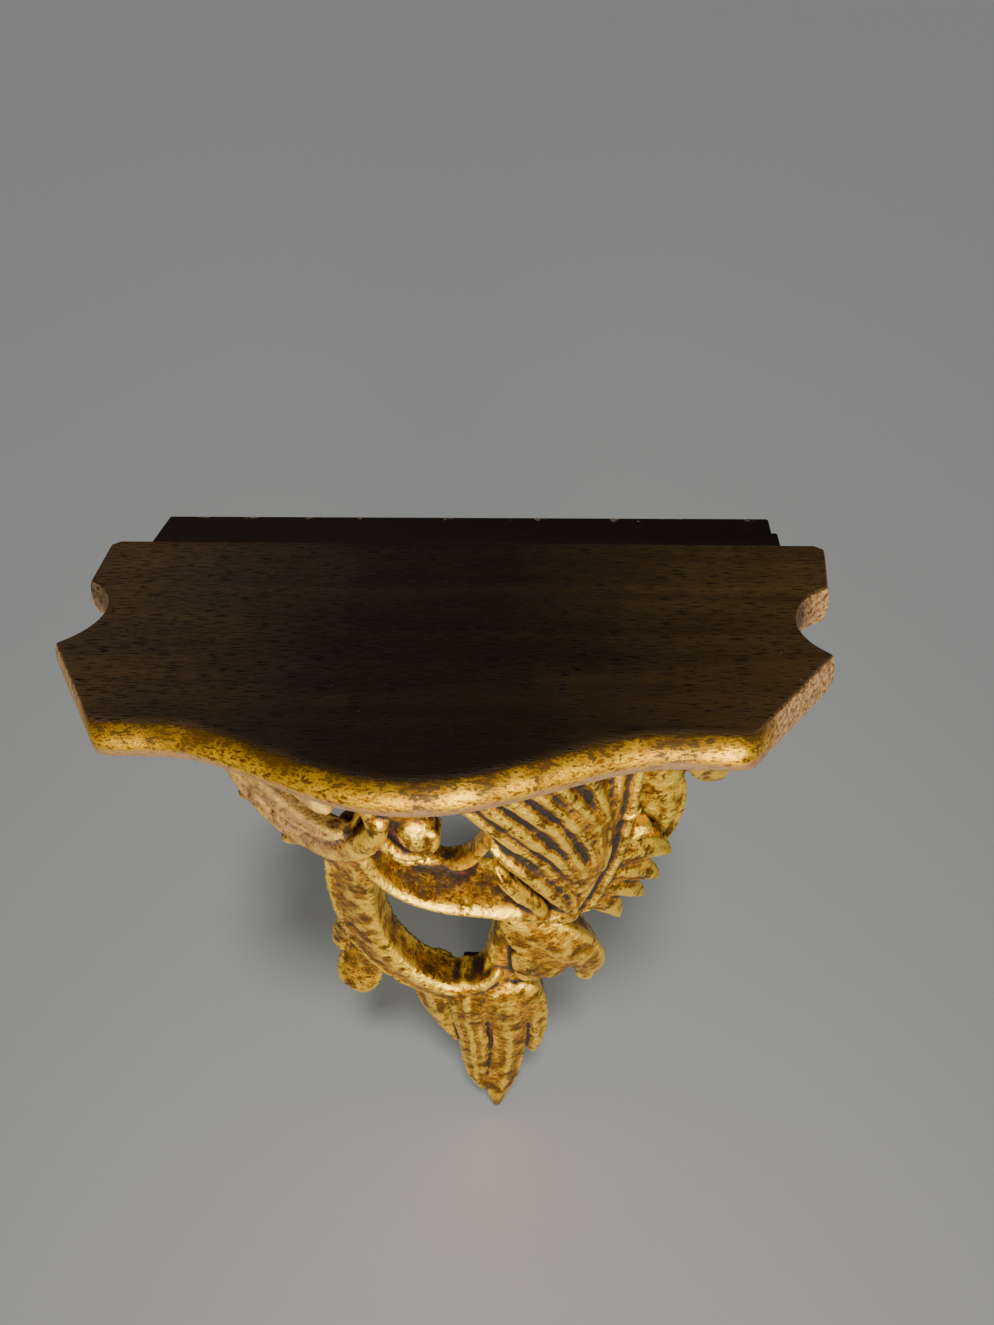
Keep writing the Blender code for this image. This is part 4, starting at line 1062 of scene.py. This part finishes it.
# %% The inner skin, and the end of the tree
outward = add(tree, VECTOR_MATH, point, (1.0, 1.0, 0.0), operation="MULTIPLY")
away = add(tree, VECTOR_MATH, outward, operation="NORMALIZE")
facing_room = add(tree, VECTOR_MATH, normal, away, operation="DOT_PRODUCT")
turned_in = add(tree, RANGE, facing_room, -0.25, -0.6)
by_wall = add(tree, RANGE, parts.outputs["Y"], -0.026, -0.018)
inside = add(tree, MATH, turned_in, by_wall, operation="MAXIMUM")
stored = add(tree, STORE, dipped, None, "inside", inside)
real = add(tree, "GeometryNodeRealizeInstances", stored)
dressed = add(tree, "GeometryNodeSetMaterial", real, None, given["Finish"])
add(tree, "NodeGroupOutput", dressed)
print("whole relief tree:", len(tree.nodes), "nodes")

# %% [markdown]
# The carving is water gilded and burnished: gold leaf over a dark red clay called bole. The ridges
# are a pale bright yellow, partly polish from hands and dusters and partly a painted highlight. The
# leaf between them is mottled in patches of 1 to 3 mm, drawn out a little by rubbing. Every groove,
# the wider hollows and the enclosed places are darkened, partly by brown dirt and partly as painted
# shade, and in some hollows a deep red is painted, partly bole and partly a painted reddish
# reflection. The wing at the left is painted a dull pink brown as painted shade, the leaf at the
# right stands free and is painted brighter and cleaner as painted light, and the tip at the bottom is
# worn to a red brown. The skin that faces the wall was left as rough dark wood.

# %% Finish of the carving
# The leaf that stands free begins about here, in metres to the right of the middle. From here
# rightwards the carving is painted brighter and less darkened, as painted light.
FREE_LEAF_FROM = 0.07
FREE_LEAF_TO = 0.09
carving_finish, tree, shader = new_material("burnished_water_gilding")
place = add(tree, "ShaderNodeTexCoord").outputs["Object"]
hollow, enclosed, inside = (add(tree, ATTRIBUTE, attribute_name=name).outputs["Fac"]
                            for name in ("hollow", "enclosed", "inside"))
speckle = add(tree, NOISE, place, 420.0, 5.0, 0.68)
patch = add(tree, NOISE, place, 110.0, 4.0, 0.62)
broad = add(tree, NOISE, place, 30.0, 2.0, 0.5)
tone = add(tree, RANGE, speckle, 0.4, 0.58)
leaf = add(tree, MIX, tone, linear("#744606"), linear("#f6b31c"), data_type="RGBA")
split = add(tree, "ShaderNodeSeparateXYZ", place)
# Painted light: the right side counts as more rubbed, so it is painted brighter.
painted_light_on_right = add(tree, RANGE, split.outputs["X"], FREE_LEAF_FROM, FREE_LEAF_TO, 0.0, -0.2)
hollow_and_painted_light = add(tree, MATH, hollow, painted_light_on_right, operation="ADD")
high = add(tree, MATH, patch, 0.6, hollow_and_painted_light, operation="MULTIPLY_ADD")
rubbed_and_highlit = add(tree, RANGE, high, 0.16, -0.1)
# Convex ridges are painted pale bright yellow: partly polish, partly a painted highlight.
polished_and_highlit = add(tree, MIX, rubbed_and_highlit, leaf, linear("#ffd040"), data_type="RGBA")
wear = add(tree, MATH, patch, 0.9, speckle, operation="MULTIPLY_ADD")
mottle = add(tree, RANGE, wear, 0.94, 1.08, 0.0, 0.9)
aged = add(tree, MIX, mottle, polished_and_highlit, linear("#4c2803"), data_type="RGBA")
# Painted light: on the right side the enclosed places are darkened less.
dust_and_shade_weight = add(tree, RANGE, split.outputs["X"], FREE_LEAF_FROM, FREE_LEAF_TO, 1.15, 0.35)
both = add(tree, MATH, enclosed, dust_and_shade_weight, hollow, operation="MULTIPLY_ADD")
low = add(tree, MATH, patch, 0.4, both, operation="MULTIPLY_ADD")
# Dirt and painted shade: hollows and enclosed places are darkened to brown, then near black.
film_and_shade = add(tree, RANGE, low, 0.4, 0.74, 0.0, 0.92)
filmed_and_shaded = add(tree, MIX, film_and_shade, aged, linear("#3e2406"), data_type="RGBA")
dirt_and_shade = add(tree, RANGE, low, 0.62, 1.0)
dirty_and_shaded = add(tree, MIX, dirt_and_shade, filmed_and_shaded, linear("#120902"), data_type="RGBA")
# A deep red in some hollows: partly bole, partly a painted reddish reflection.
red = add(tree, MATH, broad, 2.2, both, operation="MULTIPLY_ADD")
bole_and_reflection = add(tree, RANGE, red, 2.1, 2.6, 0.0, 0.5)
bole_and_reflection_here = add(tree, MATH, bole_and_reflection, tone, operation="MULTIPLY")
reddened = add(tree, MIX, bole_and_reflection_here, dirty_and_shaded, linear("#6c2408"), data_type="RGBA")
# Painted shade: the wing at the upper left is painted a dull pink brown and made less metallic.
leftward = add(tree, RANGE, split.outputs["X"], -0.03, -0.06, 0.0, 0.8)
upward = add(tree, RANGE, split.outputs["Z"], -0.12, -0.09)
wing = add(tree, MATH, leftward, upward, operation="MULTIPLY")
ragged_tip = add(tree, MATH, patch, 0.03, split.outputs["Z"], operation="MULTIPLY_ADD")
tip = add(tree, RANGE, ragged_tip, -0.336, -0.348, 0.0, 0.75)
tipped = add(tree, MIX, tip, reddened, linear("#5a2c0c"), data_type="RGBA")
wing_shade_tone = add(tree, MIX, tone, linear("#4a3220"), linear("#94704a"), data_type="RGBA")
wing_shaded = add(tree, MIX, wing, tipped, wing_shade_tone, data_type="RGBA")
colour = add(tree, MIX, inside, wing_shaded, linear("#1c1006"), data_type="RGBA")
dull = add(tree, MATH, wing, film_and_shade, operation="MAXIMUM")
grime_and_shade = add(tree, MATH, dull, dirt_and_shade, operation="MAXIMUM")
clean = add(tree, RANGE, grime_and_shade, 0.0, 1.0, 0.92, 0.3)
outer = add(tree, RANGE, inside, 0.0, 1.0, 1.0, 0.0)
metal = add(tree, MATH, clean, outer, operation="MULTIPLY")
burnish = add(tree, RANGE, speckle, 0.3, 0.7, 0.32, 0.5)
matt = add(tree, MATH, grime_and_shade, inside, operation="MAXIMUM")
rough = add(tree, MIX, matt, burnish, 0.75)
dents = add(tree, MATH, speckle, 0.6, patch, operation="MULTIPLY_ADD")
bump = add(tree, "ShaderNodeBump", 0.9, 0.0013, None, dents)
fill_named(tree, shader, {"Base Color": colour, "Metallic": metal, "Roughness": rough,
                          "Normal": bump})
print("finish of the carving:", len(tree.nodes), "nodes")

# %% Carved body
relief = block.modifiers.new("relief", "NODES")
relief.node_group = relief_tree
for name, (_, value) in RELIEF_INPUTS.items():
    relief[sockets[name].identifier] = carving_finish if name == "Finish" else value
carving_mesh = finished_mesh(block, "carved_body_detail")
bpy.data.objects.remove(block)
bpy.data.objects.remove(forms)
carving = add_piece("carved_body_detail", carving_mesh, carving_finish)
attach(carving, "root")
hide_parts("carved_body")

# %% [markdown]
# The picture is taken from in front and above, a little to the right. The camera's place and its
# three directions were worked out from the board's mirrored corners. The bracket has no wall here,
# only a pale floor under its tip. One soft overhead light makes the floor evenly grey, and lets the
# shelf shade the floor behind the openings. A weak one from behind fills the shades. A low light in
# front, a little to the right, reaches under the shelf and is mirrored by the gilding. Its beam is
# narrow, which keeps it off most of the floor. The floor is matt pale paper: one flat light grey
# that shows no gloss, so that only the soft shades lie on it.

# %% Floor
FLOOR_DROP = 0.006
FLOOR_SIZE = 40.0
FLOOR_THICKNESS = 0.01
floor_level = body_low.z - FLOOR_DROP
floor_mesh = box_mesh("floor", (-FLOOR_SIZE / 2, -FLOOR_SIZE / 2, floor_level - FLOOR_THICKNESS),
                      (FLOOR_SIZE / 2, FLOOR_SIZE / 2, floor_level))
floor_finish, tree, shader = new_material("pale_paper")
fill_named(tree, shader, {"Base Color": linear("#b4b6b4"), "Roughness": 0.9})
floor = new_object("floor", floor_mesh)
floor_mesh.materials.append(floor_finish)
floor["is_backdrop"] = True
print("floor at", round(floor_level, 4))

# %% Light
world = bpy.data.worlds.new("studio")
bpy.context.scene.world = world
world.use_nodes = True
sky = world.node_tree.nodes["Background"]
fill_named(world.node_tree, sky, {"Color": linear("#c9ccce"), "Strength": 0.09})


def light(name, kind, power, direction):
    """A light turned so that it shines from this direction."""
    data = bpy.data.lights.new(name, kind)
    data.energy = power
    lamp = new_object(name, data)
    lamp.rotation_mode = "QUATERNION"
    lamp.rotation_quaternion = direction.to_track_quat("Z", "Y")
    lamp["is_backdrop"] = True
    return lamp


overhead = light("overhead_light", "SUN", 1.5, Vector((0.12, -0.64, 1.0)))
overhead.data.angle = math.radians(9)
rear_fill = light("rear_fill_light", "SUN", 0.12, Vector((-0.6, 1.0, 0.9)))
rear_fill.data.angle = math.radians(30)
FRONT_LIGHT_PLACE = Vector((0.2, -1.5, -0.14))
FRONT_LIGHT_TARGET = Vector((0.0, -0.08, -0.12))
low_front = light("low_front_light", "AREA", 5.0, FRONT_LIGHT_PLACE - FRONT_LIGHT_TARGET)
low_front.location = FRONT_LIGHT_PLACE
low_front.data.size = 0.4
low_front.data.spread = math.radians(50)
low_front.data.color = linear("#fffaee")[:3]
low_front.visible_camera = False
print("lights:", overhead.name, rear_fill.name, low_front.name)

# %% Camera
CAMERA_PLACE = Vector((0.06505, -0.48321, 0.25643))
CAMERA_RIGHT = Vector((0.9957, 0.0850, -0.0365))
CAMERA_UP = Vector((-0.0161, 0.5478, 0.8364))
CAMERA_BACK = Vector((0.0911, -0.8323, 0.5469))
SENSOR = 36.0
FOCAL_PIXELS = 1150
PHOTO_HEIGHT = 1325
camera_data = bpy.data.cameras.new("camera")
camera_data.sensor_fit = "VERTICAL"
camera_data.sensor_height = SENSOR
camera_data.lens = SENSOR * FOCAL_PIXELS / PHOTO_HEIGHT
camera = new_object("camera", camera_data)
turn = Matrix((CAMERA_RIGHT, CAMERA_UP, CAMERA_BACK)).transposed().to_4x4()
camera.matrix_world = Matrix.Translation(CAMERA_PLACE) @ turn
bpy.context.scene.camera = camera
print("lens in mm:", round(camera_data.lens, 1))

# %% Size of the visual box
low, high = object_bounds()
print("visual box in mm:", [round(v * 1000, 1) for v in high - low])
